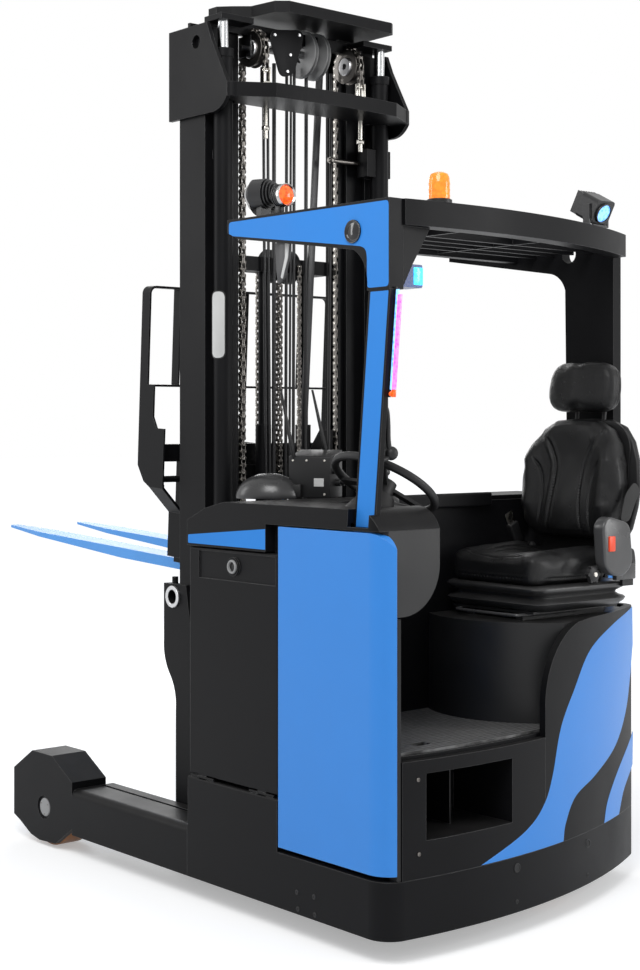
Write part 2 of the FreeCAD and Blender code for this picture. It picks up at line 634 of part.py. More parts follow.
def make_guard_right():
    x0 = -GUARD_FACE
    x1 = -HALF + GUARD_RIGHT_IN
    roof = ROOF_TOP
    plate = path_prism("yz", [
        ((420.0, roof - 30), (420.0, roof + 2)),
        ((420.0, roof + 2), (RIGHT_POST[1], roof)),
        ((RIGHT_POST[1], roof), (RIGHT_POST[1], HOOD_TOP - 4)),
        ((RIGHT_POST[1], HOOD_TOP - 4), (RIGHT_POST[0] + 10, HOOD_TOP - 4)),
        ((RIGHT_POST[0] + 10, HOOD_TOP - 4), (RIGHT_POST[0], 2040.0)),
        ((RIGHT_POST[0], 2040.0), (RIGHT_POST[0] - 24, 2080.0), (RIGHT_POST[0] - 74, 2104.0)),
        ((RIGHT_POST[0] - 74, 2104.0), (420.0, roof - 30)),
    ], x0, x1)
    return plate.cut(rod("x", (x0, RIGHT_POST[0] + 18, ROOF_TOP - 48), 31, 4 * GUARD_SIDE))


def make_roof():
    low = ROOF_TOP - ROOF_BEAM
    right = -HALF + GUARD_RIGHT_IN
    left = GUARD_FACE - GUARD_SIDE
    depth = ROOF_BEAM_DEPTH
    return path_prism("xy", [
        ((right, guard_inset_y(right)), (0.0, guard_inset_y(0.0)), (left, guard_inset_y(left))),
        ((left, guard_inset_y(left)), (left, guard_inset_y(left) - depth)),
        ((left, guard_inset_y(left) - depth), (0.0, guard_inset_y(0.0) - depth),
         (right, guard_inset_y(right) - depth)),
        ((right, guard_inset_y(right) - depth), (right, guard_inset_y(right))),
    ], low, ROOF_TOP)


def make_front_beam():
    left = GUARD_FACE - GUARD_SIDE
    right = -HALF + GUARD_RIGHT_IN
    return block(right, left, FRONT_BEAM_Y, FRONT_BEAM_Y + FRONT_BEAM_DEPTH, ROOF_TOP - 60, ROOF_TOP - 2)


def make_grille():
    """Slats across the roof, carried by two lengthwise bars and the side plates."""
    right = -HALF + GUARD_RIGHT_IN
    left = GUARD_FACE - GUARD_SIDE
    low = ROOF_TOP - SLAT_DROP - SLAT_HEIGHT
    high = ROOF_TOP - SLAT_DROP
    first = FRONT_BEAM_Y + FRONT_BEAM_DEPTH + SLAT_PITCH
    last = guard_inset_y(right) - ROOF_BEAM_DEPTH - SLAT_PITCH / 2
    count = int((last - first) / SLAT_PITCH) + 1
    bars = []
    for index in range(count):
        y = first + index * SLAT_PITCH
        bars.append(block(right, left, y - SLAT_THICK / 2, y + SLAT_THICK / 2, low, high))
    for x in (right + (left - right) / 3, left - (left - right) / 3):
        bars.append(block(x - 5, x + 5, FRONT_BEAM_Y + FRONT_BEAM_DEPTH - 6, guard_inset_y(x) - ROOF_BEAM_DEPTH / 2, low, high))
    return joined(bars).cut(make_roof())


def make_gusset():
    side = GUARD_FACE - GUARD_SIDE
    rear = guard_inset_y(side)
    plate = prism("xz", [
        (side, ROOF_TOP - ROOF_BEAM), (side - 120, ROOF_TOP - ROOF_BEAM),
        (side - 50, POST_JOIN_Z + 78), (side - 10, POST_JOIN_Z + 8), (side, POST_JOIN_Z + 8),
    ], rear - 46, rear - 22)
    return plate


# ---------------------------------------------------------------- lamps, beacon, mirror
def guard_top(y):
    """Height of the left roof plate, which falls a little towards the back."""
    run = guard_inset_y(GUARD_FACE) - GUARD_TIP_Y
    return ROOF_TOP + 4 * (1 - (y - GUARD_TIP_Y) / run)


def make_work_lamp(x, y, base_z, aim):
    stem = block(x - 20, x + 20, y - 12, y + 12, base_z, base_z + 28)
    head_z = base_z + 72
    head = turned(rod("y", (x, y - 8, head_z), 48, 46), (x, y, head_z), (0, 0, 1), aim)
    fins = []
    for index in range(4):
        fin = rod("y", (x, y + 22 + index * 9, head_z), 44 - index * 5, 4)
        fins.append(turned(fin, (x, y, head_z), (0, 0, 1), aim))
    core = turned(rod("y", (x, y + 20, head_z), 24, 62), (x, y, head_z), (0, 0, 1), aim)
    ears = block(x - 20, x + 20, y - 12, y + 12, base_z + 20, head_z)
    return joined([stem, ears, head, core] + fins)


def make_rear_lamp():
    y = 945.0
    x = HALF - 44
    z = ROOF_TOP + 62
    body = rod("y", (x, y + 14, z), 30, 84)
    lens = rod("y", (x, y + 14 + 45, z), 26, 6)
    foot = guard_top(y - 9)
    stem = rod("z", (x, y, (foot + z) / 2), 9, z - foot)
    return joined([body, stem]), lens


BEACON_BASE = 12.0
BEACON_LENS = 81.0


def make_beacon():
    x = HALF - 240
    y = rear_face_y(x) - 50
    base = rod("z", (x, y, ROOF_TOP + BEACON_BASE / 2), 34, BEACON_BASE)
    lens = rod("z", (x, y, ROOF_TOP + BEACON_BASE + BEACON_LENS / 2), 29, BEACON_LENS)
    lens_top = ROOF_TOP + BEACON_BASE + BEACON_LENS
    lens = rounded(lens, 14, lambda e: len(e.Vertexes) == 1 and e.Vertexes[0].Z > lens_top - 1)
    return base, lens


def make_spot():
    x = -(HALF - 296)
    y = rear_face_y(x) - 48
    foot = block(x - 34, x + 34, y - 18, y + 18, ROOF_TOP, ROOF_TOP + 10)
    arms = [block(x + s * 46 - 3, x + s * 46 + 3, y - 14, y + 14, ROOF_TOP + 4, ROOF_TOP + 78) for s in (-1, 1)]
    yoke = joined([foot, block(x - 49, x + 49, y - 14, y + 14, ROOF_TOP + 4, ROOF_TOP + 10)] + arms)
    z = ROOF_TOP + 64
    head = rounded(block(x - 43, x + 43, y - 40, y + 34, z - 42, z + 42), 12, along_axis("y"))
    fins = [block(x - 40 + i * 13, x - 40 + i * 13 + 4, y - 66, y - 40, z - 38, z + 38) for i in range(7)]
    head = joined([head] + fins)
    head = head.cut(rod("y", (x, y + 34, z), 34, 16))
    lens = rod("y", (x, y + 28, z), 34, 4)
    tilt = ((x, y, z), (1, 0, 0), -28)
    yoke = yoke.cut(turned(head, *tilt))
    return yoke, turned(head, *tilt), turned(lens, *tilt)


def make_zone_lamp():
    x = HALF - 164
    y = guard_inset_y(GUARD_FACE - GUARD_SIDE) - 46 - 34
    z = POST_JOIN_Z + 46
    case = block(x - 30, GUARD_FACE - GUARD_SIDE, y - 34, y + 34, z - 34, z + 34)
    lens = block(x - 36, x - 30, y - 30, y + 30, z - 30, z + 30)
    return case, lens


# ---------------------------------------------------------------- seat
SEAT_Y = REAR - 325
SEAT_BACK = -HALF + 186
SEAT_FRONT = SEAT_BACK + 455
CUSHION_LOW = 1040.0
CUSHION_HIGH = 1145.0
RECLINE_PIVOT = (SEAT_BACK + 28, SEAT_Y, CUSHION_LOW + 35)
BACK_LEAN = 7.0


def make_seat():
    rails = [block(SEAT_BACK + 20, SEAT_FRONT - 30, SEAT_Y + s * 110 - 14, SEAT_Y + s * 110 + 14,
                   PEDESTAL_TOP, PEDESTAL_TOP + 14) for s in (-1, 1)]
    runners = [block(SEAT_BACK + 60, SEAT_FRONT - 70, SEAT_Y + s * 110 - 20, SEAT_Y + s * 110 + 20,
                     PEDESTAL_TOP + 14 + SEAT_GAP, PEDESTAL_TOP + 24) for s in (-1, 1)]
    plate = block(SEAT_BACK + 20, SEAT_FRONT - 20, SEAT_Y - 180, SEAT_Y + 180, PEDESTAL_TOP + 24, PEDESTAL_TOP + 32)
    bellows_low = PEDESTAL_TOP + 32 + SEAT_GAP
    bellows = block(SEAT_BACK + 10, SEAT_FRONT - 10, SEAT_Y - 215, SEAT_Y + 215, bellows_low, CUSHION_LOW - 20)
    bellows = rounded(bellows, 40, upright_edge)
    pan = block(SEAT_BACK - 10, SEAT_FRONT - 20, SEAT_Y - 200, SEAT_Y + 200, CUSHION_LOW - 20 + SEAT_GAP,
                CUSHION_LOW - SEAT_GAP)
    hinge_arms = [block(SEAT_BACK, SEAT_BACK + 55, SEAT_Y + s * 226 - 6, SEAT_Y + s * 226 + 6, CUSHION_LOW - 16,
                        CUSHION_LOW + 60) for s in (-1, 1)]
    bars = [block(SEAT_BACK + 5, SEAT_BACK + 45, SEAT_Y + s * 196, SEAT_Y + s * 226, CUSHION_LOW - 16,
                  CUSHION_LOW - 4) for s in (-1, 1)]
    pin = rod("y", RECLINE_PIVOT, 8, 464)
    frame = joined([pan] + hinge_arms + bars)
    frame = frame.cut(rod("y", RECLINE_PIVOT, 8, 600))
    cushion = block(SEAT_BACK + 80, SEAT_FRONT, SEAT_Y - 216, SEAT_Y + 216, CUSHION_LOW, CUSHION_HIGH)
    cushion = rounded(cushion, 40, upright_edge)
    return rails, runners, plate, bellows, frame, pin, cushion


def make_seat_back():
    tilt = (RECLINE_PIVOT, (0, 1, 0), -BACK_LEAN)
    lower = RECLINE_PIVOT[2]
    x = RECLINE_PIVOT[0]
    shell = block(x - 32, x - 12, SEAT_Y - 192, SEAT_Y + 192, lower + 20, lower + 505)
    shell = rounded(shell, 110, along_axis("x"))
    lug = [block(x - 32, x + 14, SEAT_Y + s * 210 - 8, SEAT_Y + s * 210 + 8, lower - 14, lower + 60)
           for s in (-1, 1)]
    link = block(x - 32, x - 12, SEAT_Y - 218, SEAT_Y + 218, lower + 40, lower + 60)
    frame = joined([shell, link] + lug).cut(rod("y", RECLINE_PIVOT, 8 + RUNNING_GAP, 600))
    back = block(x - 12 + SEAT_GAP, x + 78, SEAT_Y - 232, SEAT_Y + 232, lower + 80, lower + 526)
    back = rounded(back, 70, along_axis("x"))
    head = block(x - 20, x + 66, SEAT_Y - 160, SEAT_Y + 160, lower + 530, lower + 714)
    head = rounded(head, 56, along_axis("x"))
    stalks = [rod("z", (x - 22, SEAT_Y + s * 60, lower + 515), 7, 90) for s in (-1, 1)]
    frame = joined([frame] + stalks)
    head = head.cut(frame)
    parts = [frame, back, head]
    return [turned(part, *tilt) for part in parts]


# ---------------------------------------------------------------- steering column and wheel
WHEEL_CENTRE = (HALF - 236, REAR - 288, 1380.0)
STEER_RADIUS = 165.0
STEER_TILT = -32.0


def make_steering():
    x, y, z = WHEEL_CENTRE
    tilt = (WHEEL_CENTRE, (0, 1, 0), STEER_TILT)
    torus = Part.makeTorus(STEER_RADIUS, 13, V(x, y, z), V(0, 0, 1))
    hub = rod("z", (x, y, z - 14), 36, 44)
    spokes = []
    for angle in (40, 160, 280):
        spoke = block(x + 20, x + STEER_RADIUS - 4, y - 15, y + 15, z - 14, z - 4)
        spokes.append(turned(spoke, (x, y, z), (0, 0, 1), angle))
    wheel = joined([torus, hub] + spokes)
    knob_x = x - STEER_RADIUS * math.cos(math.radians(-50))
    knob_y = y - STEER_RADIUS * math.sin(math.radians(-50)) - 2 * STEER_RADIUS * math.sin(math.radians(50))
    stem = rod("z", (knob_x, knob_y, z + 22), 7, 26)
    ball = Part.makeSphere(25, V(knob_x, knob_y, z + 50))
    wheel = joined([wheel, stem, ball])
    column = rod("z", (x, y, z - 36 - 0.3 - 40), 42, 80)
    boot = Part.makeCone(98, 48, 112, V(x, y, z - 36 - 0.3 - 117), V(0, 0, 1))
    column = turned(joined([column, boot]), *tilt)
    column = column.cut(block(0, HALF, 0, REAR, 0, HOOD_TOP))
    return turned(wheel, *tilt), column


# ---------------------------------------------------------------- mast
WEB = 16.0
FLANGE = 14.0
STAGE_GAP = 5.0
OUTER_TOP = CLOSED_HEIGHT - 95
MIDDLE_TOP = CLOSED_HEIGHT - 60
INNER_TOP = CLOSED_HEIGHT - 40
MAST_REAR = MAST_FRONT + MAST_DEPTH
OUTER_INNER_X = MAST_HALF_WIDTH - 80
MIDDLE_WEB_X = MAST_HALF_WIDTH - 96
INNER_WEB_X = MIDDLE_WEB_X - 46
MIDDLE_FLANGE_X = MIDDLE_WEB_X - 60
INNER_FLANGE_X = INNER_WEB_X - 36
ROLLER_NOTCH = 135.0
FOOT_TIE_DEPTH = 8.0


def make_outer_upright():
    web = block(MAST_HALF_WIDTH - WEB, MAST_HALF_WIDTH, MAST_FRONT, MAST_REAR, MAST_FOOT, OUTER_TOP)
    front = block(OUTER_INNER_X, MAST_HALF_WIDTH, MAST_FRONT, MAST_FRONT + FLANGE, MAST_FOOT, OUTER_TOP)
    rear = block(OUTER_INNER_X, MAST_HALF_WIDTH, MAST_REAR - FLANGE, MAST_REAR, MAST_FOOT, OUTER_TOP)
    return joined([web, front, rear])


def stage_limits(level):
    """Front and rear faces of the middle (1) and inner (2) stage."""
    step = level * (FLANGE + STAGE_GAP)
    return MAST_FRONT + step, MAST_REAR - step


def make_stage_upright(level, web_x, x_low, x_high, top):
    front, rear = stage_limits(level)
    thick = FLANGE - 1
    web = block(web_x, web_x + thick + 1, front, rear, MAST_FOOT, top)
    flange_a = block(x_low, x_high, front, front + thick, MAST_FOOT + ROLLER_NOTCH, top)
    flange_b = block(x_low, x_high, rear - thick, rear, MAST_FOOT + ROLLER_NOTCH, top)
    low_a = block(x_low, web_x + thick, front, front + thick, MAST_FOOT, top)
    low_b = block(x_low, web_x + thick, rear - thick, rear, MAST_FOOT, top)
    return joined([web, flange_a, flange_b, low_a, low_b])


def make_stage_rollers(level, web_x, room_front, room_rear, x_out):
    radius = (room_rear - room_front) / 2 - 0.5
    middle = (room_rear + room_front) / 2
    z = MAST_FOOT + ROLLER_NOTCH / 2
    start = web_x + FLANGE
    wheel = rod("x", ((start + 6 + x_out) / 2, middle, z), min(radius, ROLLER_NOTCH / 2 - 4), x_out - start - 6)
    stub = rod("x", ((start + x_out) / 2, middle, z), 18, x_out - start)
    return joined([wheel, stub])


BRACKET_LOW = CLOSED_HEIGHT - 410
LIFT_EYE_Z = CLOSED_HEIGHT - 150
LIFT_EYE_Y = 214.0
LIFT_EYE_RADIUS = 24.0
BRACKET_THICK = 16.0
CROSS_PLATE_TOP = CLOSED_HEIGHT - 315
CROSS_PLATE_THICK = 50.0
CROSS_PLATE_Y = 376.0
CROSS_PLATE_REAR = 495.0
CROSS_PLATE_WINDOW = 300.0


def make_top_bracket():
    """Side plate at the mast's top, with the lifting eye; its sloped edge runs down to the cross plate."""
    front = MAST_FRONT - 44
    top = OUTER_TOP + 5
    sloped_top = top - 65
    rear = CROSS_PLATE_Y + 15
    plate = path_prism("yz", [
        ((front, BRACKET_LOW), (front, top)),
        ((front, top), (MAST_REAR + 30, top)),
        ((MAST_REAR + 30, top), (MAST_REAR + 58, sloped_top)),
        ((MAST_REAR + 58, sloped_top), (rear, CROSS_PLATE_TOP)),
        ((rear, CROSS_PLATE_TOP), (rear, CROSS_PLATE_TOP - CROSS_PLATE_THICK)),
        ((rear, CROSS_PLATE_TOP - CROSS_PLATE_THICK), (rear - 26, BRACKET_LOW + 18), (MAST_REAR + 68, BRACKET_LOW)),
        ((MAST_REAR + 68, BRACKET_LOW), (front, BRACKET_LOW)),
    ], MAST_HALF_WIDTH, MAST_HALF_WIDTH + BRACKET_THICK)
    return plate.cut(rod("x", (MAST_HALF_WIDTH, LIFT_EYE_Y, LIFT_EYE_Z), LIFT_EYE_RADIUS, 200))


def make_outer_cross_plate():
    """Curved plate that ties the outer uprights behind the mast, near the top."""
    half = MAST_HALF_WIDTH + BRACKET_THICK
    low = CROSS_PLATE_TOP - CROSS_PLATE_THICK
    side_rear = CROSS_PLATE_Y
    plate = path_prism("xy", [
        ((-half, MAST_REAR + 1), (half, MAST_REAR + 1)),
        ((half, MAST_REAR + 1), (half, side_rear)),
        ((half, side_rear), (half - 10, side_rear + 22), (half - 34, side_rear + 34)),
        ((half - 34, side_rear + 34), (half - 150, CROSS_PLATE_REAR - 14)),
        ((half - 150, CROSS_PLATE_REAR - 14), (0.0, CROSS_PLATE_REAR), (-half + 150, CROSS_PLATE_REAR - 14)),
        ((-half + 150, CROSS_PLATE_REAR - 14), (-half + 34, side_rear + 34)),
        ((-half + 34, side_rear + 34), (-half + 10, side_rear + 22), (-half, side_rear)),
        ((-half, side_rear), (-half, MAST_REAR + 1)),
    ], low, CROSS_PLATE_TOP)
    window = block(-half + 112, half - 112, MAST_REAR, CROSS_PLATE_WINDOW, low - 1, CROSS_PLATE_TOP + 1)
    return plate.cut(window)


def make_inner_top_plate():
    front = stage_limits(2)[0]
    side = MIDDLE_WEB_X + 23
    return prism("xy", [
        (-side, front), (side - 27, front), (side - 27, front + 48), (side - 65, front + 89),
        (side - 117, front + 134), (side - 133, front + 250), (side - 172, front + 283),
        (-side + 20, front + 278), (-side, front + 263),
    ], INNER_TOP, CLOSED_HEIGHT)


CYLINDER_X = MAST_HALF_WIDTH - 46
CYLINDER_Y = MAST_REAR + 46
ROD_RADIUS = 20.0
BARREL_RADIUS = 34.0


def make_lift_cylinder():
    low = MAST_FOOT + 70
    high = CLOSED_HEIGHT - 210
    barrel = rod("z", (CYLINDER_X, CYLINDER_Y, (low + high) / 2), BARREL_RADIUS, high - low)
    bore = rod("z", (CYLINDER_X, CYLINDER_Y, (low + 20 + high) / 2 + 20), 26, high - low)
    gland = ring("z", (CYLINDER_X, CYLINDER_Y, high + 15), 38, ROD_RADIUS + RUNNING_GAP, 30)
    rod_low = high - 2060
    rod_high = MIDDLE_TOP - 20
    piston_rod = rod("z", (CYLINDER_X, CYLINDER_Y, (rod_low + rod_high) / 2), ROD_RADIUS, rod_high - rod_low)
    return joined([barrel.cut(bore), gland]), piston_rod, low, rod_high


FREE_LIFT_X = 95.0
FREE_LIFT_BARREL_TOP = 1560.0
FREE_LIFT_HEAD_Z = 2122.0
CROSS_HEAD_HALF = INNER_FLANGE_X - 40
CROSS_HEAD_HEIGHT = 52.0
CHAIN_X = 45.0
CHAIN_WHEEL_WIDTH = 24.0
CHAIN_ANCHOR_Z = 1100.0
FREE_LIFT_BASE_HALF = 150.0
CHAIN_WHEEL_RADIUS = 62.0
CHAIN_WHEEL_Y = 140.0


# ---------------------------------------------------------------- reach carriage
REACH_PLATE = 30.0
REACH_PLATE_X = LEG_INNER - REACH_PLATE - 9
REACH_ROLLER_Y = (292.0, 438.0)


def make_reach_plate():
    plate = path_prism("yz", [
        ((112, 1000), (244, 1000)),
        ((244, 1000), (300, 700)),
        ((300, 700), (495, 420)),
        ((495, 420), (495, 95)),
        ((495, 95), (184, 95)),
        ((184, 95), (184, 560)),
        ((184, 560), (176, 630), (148, 680)),
        ((148, 680), (120, 730), (112, 800)),
        ((112, 800), (112, 1000)),
    ], REACH_PLATE_X, REACH_PLATE_X + REACH_PLATE)
    return plate.cut(rod("x", (REACH_PLATE_X, 172, 955), 24, 4 * REACH_PLATE))


def make_reach_parts():
    plate = make_reach_plate()
    boss = ring("x", (REACH_PLATE_X + REACH_PLATE + 4, 172, 955), 38, 24, 8)
    bolt = rod("z", (REACH_PLATE_X + 15, 160, 1012), 11, 24)
    link = block(MAST_HALF_WIDTH, REACH_PLATE_X, MAST_FRONT + 50, MAST_REAR - 10, 110, 880)
    beam = block(-REACH_PLATE_X, REACH_PLATE_X, 345, 485, 95, 205)
    beam = beam.cut(block(-REACH_PLATE_X - 1, REACH_PLATE_X + 1, 357, 473, 107, 193))
    rollers = []
    z = (BASE_BOTTOM + LEG_TOP) / 2
    radius = (LEG_TOP - BASE_BOTTOM) / 2 - LEG_WALL - 0.5
    for y in REACH_ROLLER_Y:
        inner = REACH_PLATE_X + REACH_PLATE
        roller = rod("x", (inner + 18 + 40, y, z), radius, 80)
        stub = rod("x", (inner + 30, y, z), 24, 60)
        rollers.append(joined([roller, stub]))
    return plate, boss, bolt, link, beam, rollers


# ---------------------------------------------------------------- fork carriage
CARRIAGE_REST_Z = 1000.0
CARRIAGE_PLATE_X = INNER_WEB_X - 54
CARRIAGE_FRONT = MAST_FRONT - 64
CARRIAGE_BAR_HALF = 280.0
FORK_FACE = CARRIAGE_FRONT - 180
FORK_BAR_FRONT = FORK_FACE + FORK_THICKNESS + 2
FORK_BAR_BACK = FORK_BAR_FRONT + 42
PIVOT_Y = FORK_BAR_BACK + 30
PIVOT_Z = 1092.0
PIVOT_X = 270.0
FORK_CARRIAGE_HALF = 300.0
SHIFT_HALF = 320.0


def make_carriage():
    front, rear = stage_limits(2)
    room_front = front + FLANGE - 1
    room_rear = rear - FLANGE + 1
    radius = (room_rear - room_front) / 2 - 0.5
    middle = (room_rear + room_front) / 2
    plate_rear = rear - FOOT_TIE_DEPTH - MOVING_GAP
    plates = []
    rollers = []
    for side in (-1, 1):
        inner = CARRIAGE_PLATE_X
        low = CARRIAGE_REST_Z - 20
        plate = prism("yz", [
            (CARRIAGE_FRONT + 30, low), (plate_rear, low), (plate_rear, low + 560), (front, low + 560),
            (CARRIAGE_FRONT + 30, low + 470),
        ], inner - 14, inner)
        stubs = []
        for z in (low + 60, low + 500):
            wheel = rod("x", (inner + 28, middle, z), radius, 28)
            stub = rod("x", (inner + 21, middle, z), 14, 42)
            stubs.append(joined([wheel, stub]))
        if side < 0:
            plate = mirrored(plate)
            stubs = [mirrored(stub) for stub in stubs]
        plates.append(plate)
        rollers.extend(stubs)
    bars = [
        block(-CARRIAGE_BAR_HALF, CARRIAGE_BAR_HALF, CARRIAGE_FRONT, CARRIAGE_FRONT + 30, CARRIAGE_REST_Z,
              CARRIAGE_REST_Z + 110),
        block(-CARRIAGE_BAR_HALF, CARRIAGE_BAR_HALF, CARRIAGE_FRONT, CARRIAGE_FRONT + 30, CARRIAGE_REST_Z + 300,
              CARRIAGE_REST_Z + 410),
    ]
    anchor = block(-CHAIN_X - 25, CHAIN_X + 25, CARRIAGE_FRONT + 20, CHAIN_WHEEL_Y - CHAIN_WHEEL_RADIUS + 15,
                   CHAIN_ANCHOR_Z - 30, CHAIN_ANCHOR_Z)
    return joined(plates + bars + [anchor]), rollers


def make_side_shift():
    low = CARRIAGE_REST_Z + 4
    back = CARRIAGE_FRONT - SEAT_GAP
    plates = [
        block(-SHIFT_HALF, SHIFT_HALF, back - 26, back, low, low + 90),
        block(-SHIFT_HALF, SHIFT_HALF, back - 26, back, low + 310, low + 400),
    ]
    uprights = [block(s * 250 - 40, s * 250 + 40, back - 26, back, low, low + 400) for s in (-1, 1)]
    lugs = [
        block(s * PIVOT_X - 14, s * PIVOT_X + 14, PIVOT_Y, back - 20, PIVOT_Z - 22, PIVOT_Z + 22)
        for s in (-1, 1)
    ]
    lugs = [lug.fuse(rod("x", (s * PIVOT_X, PIVOT_Y, PIVOT_Z), 22, 28)) for lug, s in zip(lugs, (-1, 1))]
    frame = joined(plates + uprights + lugs)
    hole = rod("x", (0, PIVOT_Y, PIVOT_Z), 16, 900)
    hooks = frame.cut(hole)
    pins = [rod("x", (s * PIVOT_X, PIVOT_Y, PIVOT_Z), 16, 76) for s in (-1, 1)]
    return hooks, pins


def make_tilt_frame():
    bar_back = FORK_BAR_BACK
    bar_front = FORK_BAR_FRONT
    low = CARRIAGE_REST_Z + 46
    half = FORK_CARRIAGE_HALF
    lower = block(-half, half, bar_front, bar_back, low, low + 76)
    upper = block(-half, half, bar_front, bar_back, low + 331, low + 407)
    posts = [block(s * 274 - 26, s * 274 + 26, bar_front, bar_back, low, low + 407) for s in (-1, 1)]
    ears = []
    for side in (-1, 1):
        for offset in (-26, 26):
            x = side * PIVOT_X + offset
            ear = block(x - 10, x + 10, bar_back - 2, PIVOT_Y, PIVOT_Z - 24, PIVOT_Z + 24)
            ears.append(ear.fuse(rod("x", (x, PIVOT_Y, PIVOT_Z), 24, 20)))
    frame = joined([lower, upper] + posts + ears)
    return frame.cut(rod("x", (0, PIVOT_Y, PIVOT_Z), 16 + RUNNING_GAP, 900))


BACKREST_TOP = 2066.0
BACKREST_HALF = MAST_HALF_WIDTH + 27
BACKREST_STRIP = 8.0
BACKREST_DEPTH = 48.0
BACKREST_CORNER = 30.0
BACKREST_MIDDLE = 1705.0
BACKREST_WING = 160.0
BACKREST_WING_LOW = 1331.0
BACKREST_BAR_X = 30.0
BACKREST_UPRIGHT_X = 300.0
BACKREST_ARM_X = BACKREST_HALF - 90
BACKREST_STRAP_LOW = 1426.0
BACKREST_STRAP_HIGH = 1490.0


def rounded_gate(half, top, corner, low, y0, y1):
    """Solid with two round upper corners, seen from the back."""
    return path_prism("xz", [
        ((-half, low), (half, low)),
        ((half, low), (half, top - corner)),
        ((half, top - corner), (half - corner * 0.29, top - corner * 0.29), (half - corner, top)),
        ((half - corner, top), (-half + corner, top)),
        ((-half + corner, top), (-half + corner * 0.29, top - corner * 0.29), (-half, top - corner)),
        ((-half, top - corner), (-half, low)),
    ], y0, y1)


def make_load_backrest():
    """Bent flat strip with side wings, whose arms reach in and down to the lower fork bar."""
    y0 = FORK_FACE
    strip = BACKREST_STRIP
    half = BACKREST_HALF
    rear = y0 + BACKREST_WING
    rim = rounded_gate(half, BACKREST_TOP, BACKREST_CORNER, BACKREST_MIDDLE - 60, y0, y0 + BACKREST_DEPTH)
    hole = rounded_gate(half - strip, BACKREST_TOP - strip, BACKREST_CORNER - strip, BACKREST_MIDDLE - 61,
                        y0 - 1, y0 + BACKREST_DEPTH + 1)
    strap_y = FORK_BAR_BACK + 22
    pieces = [
        rim.cut(hole),
        block(-half, half, y0, y0 + BACKREST_DEPTH, BACKREST_MIDDLE - strip, BACKREST_MIDDLE),
        block(-half, half, strap_y, strap_y + 14, BACKREST_STRAP_LOW, BACKREST_STRAP_HIGH),
        rod("x", (0, strap_y + 8, BACKREST_STRAP_LOW - 64), 12, 2 * half - strip),
    ]
    for side in (-1, 1):
        wing = prism("yz", [
            (y0, BACKREST_MIDDLE), (y0 + 88, BACKREST_MIDDLE), (y0 + 88, 1588), (y0 + 112, 1548), (rear, 1548),
            (rear, BACKREST_WING_LOW), (y0 + 78, BACKREST_WING_LOW), (y0 + 40, 1350), (y0, 1407),
        ], min(side * half, side * (half - strip)), max(side * half, side * (half - strip)))
        bend = [
            (half, BACKREST_WING_LOW + 14), (half, BACKREST_WING_LOW), (BACKREST_ARM_X, 1238),
            (BACKREST_ARM_X, 1075), (BACKREST_ARM_X - 10, 1075), (BACKREST_ARM_X - 10, 1242),
            (half - 10, BACKREST_WING_LOW + 4), (half - 10, BACKREST_WING_LOW + 14),
        ]
        arm = prism("xz", [(side * x, z) for x, z in bend], y0 + 78, rear)
        foot = block(side * (BACKREST_ARM_X - 5), side * (PIVOT_X + 28), PIVOT_Y + 21, PIVOT_Y + 31,
                     PIVOT_Z - 10, PIVOT_Z + 10)
        upright = block(side * BACKREST_UPRIGHT_X - strip / 2, side * BACKREST_UPRIGHT_X + strip / 2, y0,
                        y0 + BACKREST_DEPTH - 8, BACKREST_MIDDLE - 2, BACKREST_TOP - 2)
        pieces.extend([wing, arm, foot, upright])
    for x in (-BACKREST_BAR_X, BACKREST_BAR_X):
        pieces.append(block(x - 8, x + 8, y0, y0 + 16, CARRIAGE_REST_Z + 453.3, BACKREST_TOP - 2))
        pieces.append(block(x - 8, x + 8, y0, strap_y + 2, BACKREST_STRAP_HIGH - 12, BACKREST_STRAP_HIGH))
    return joined(pieces)


def make_fork(x):
    thick = FORK_THICKNESS
    face = FORK_FACE
    top = CARRIAGE_REST_Z + 45
    tip_y = face - FORK_LENGTH
    side = path_prism("yz", [
        ((face, top), (tip_y, top)),
        ((tip_y, top), (tip_y, top - 10)),
        ((tip_y, top - 10), (face - 420, top - thick)),
        ((face - 420, top - thick), (face + thick - 28, top - thick)),
        ((face + thick - 28, top - thick), (face + thick - 8, top - thick + 8), (face + thick, top - thick + 28)),
        ((face + thick, top - thick + 28), (face + thick, top + 430)),
        ((face + thick, top + 430), (face, top + 430)),
        ((face, top + 430), (face, top)),
    ], x - FORK_WIDTH / 2, x + FORK_WIDTH / 2)
    plan = path_prism("xy", [
        ((x - FORK_WIDTH / 2, 0), (x + FORK_WIDTH / 2, 0)),
        ((x + FORK_WIDTH / 2, 0), (x + FORK_WIDTH / 2, tip_y + 300)),
        ((x + FORK_WIDTH / 2, tip_y + 300), (x + 22, tip_y + 12)),
        ((x + 22, tip_y + 12), (x, tip_y), (x - 22, tip_y + 12)),
        ((x - 22, tip_y + 12), (x - FORK_WIDTH / 2, tip_y + 300)),
        ((x - FORK_WIDTH / 2, tip_y + 300), (x - FORK_WIDTH / 2, 0)),
    ], 0, CLOSED_HEIGHT)
    blade = side.common(plan)
    hook_low = CARRIAGE_REST_Z + 453 + SEAT_GAP
    hook = block(x - FORK_WIDTH / 2, x + FORK_WIDTH / 2, face + thick - 1, FORK_BAR_BACK + 4, hook_low,
                 hook_low + 22)
    tab = block(x - FORK_WIDTH / 2, x + FORK_WIDTH / 2, FORK_BAR_BACK + SEAT_GAP, FORK_BAR_BACK + 12,
                hook_low - 22, hook_low + 22)
    return joined([blade, hook, tab])


def tilt_up(shape):
    return turned(shape, (0, PIVOT_Y, PIVOT_Z), (1, 0, 0), -FORK_TILT)


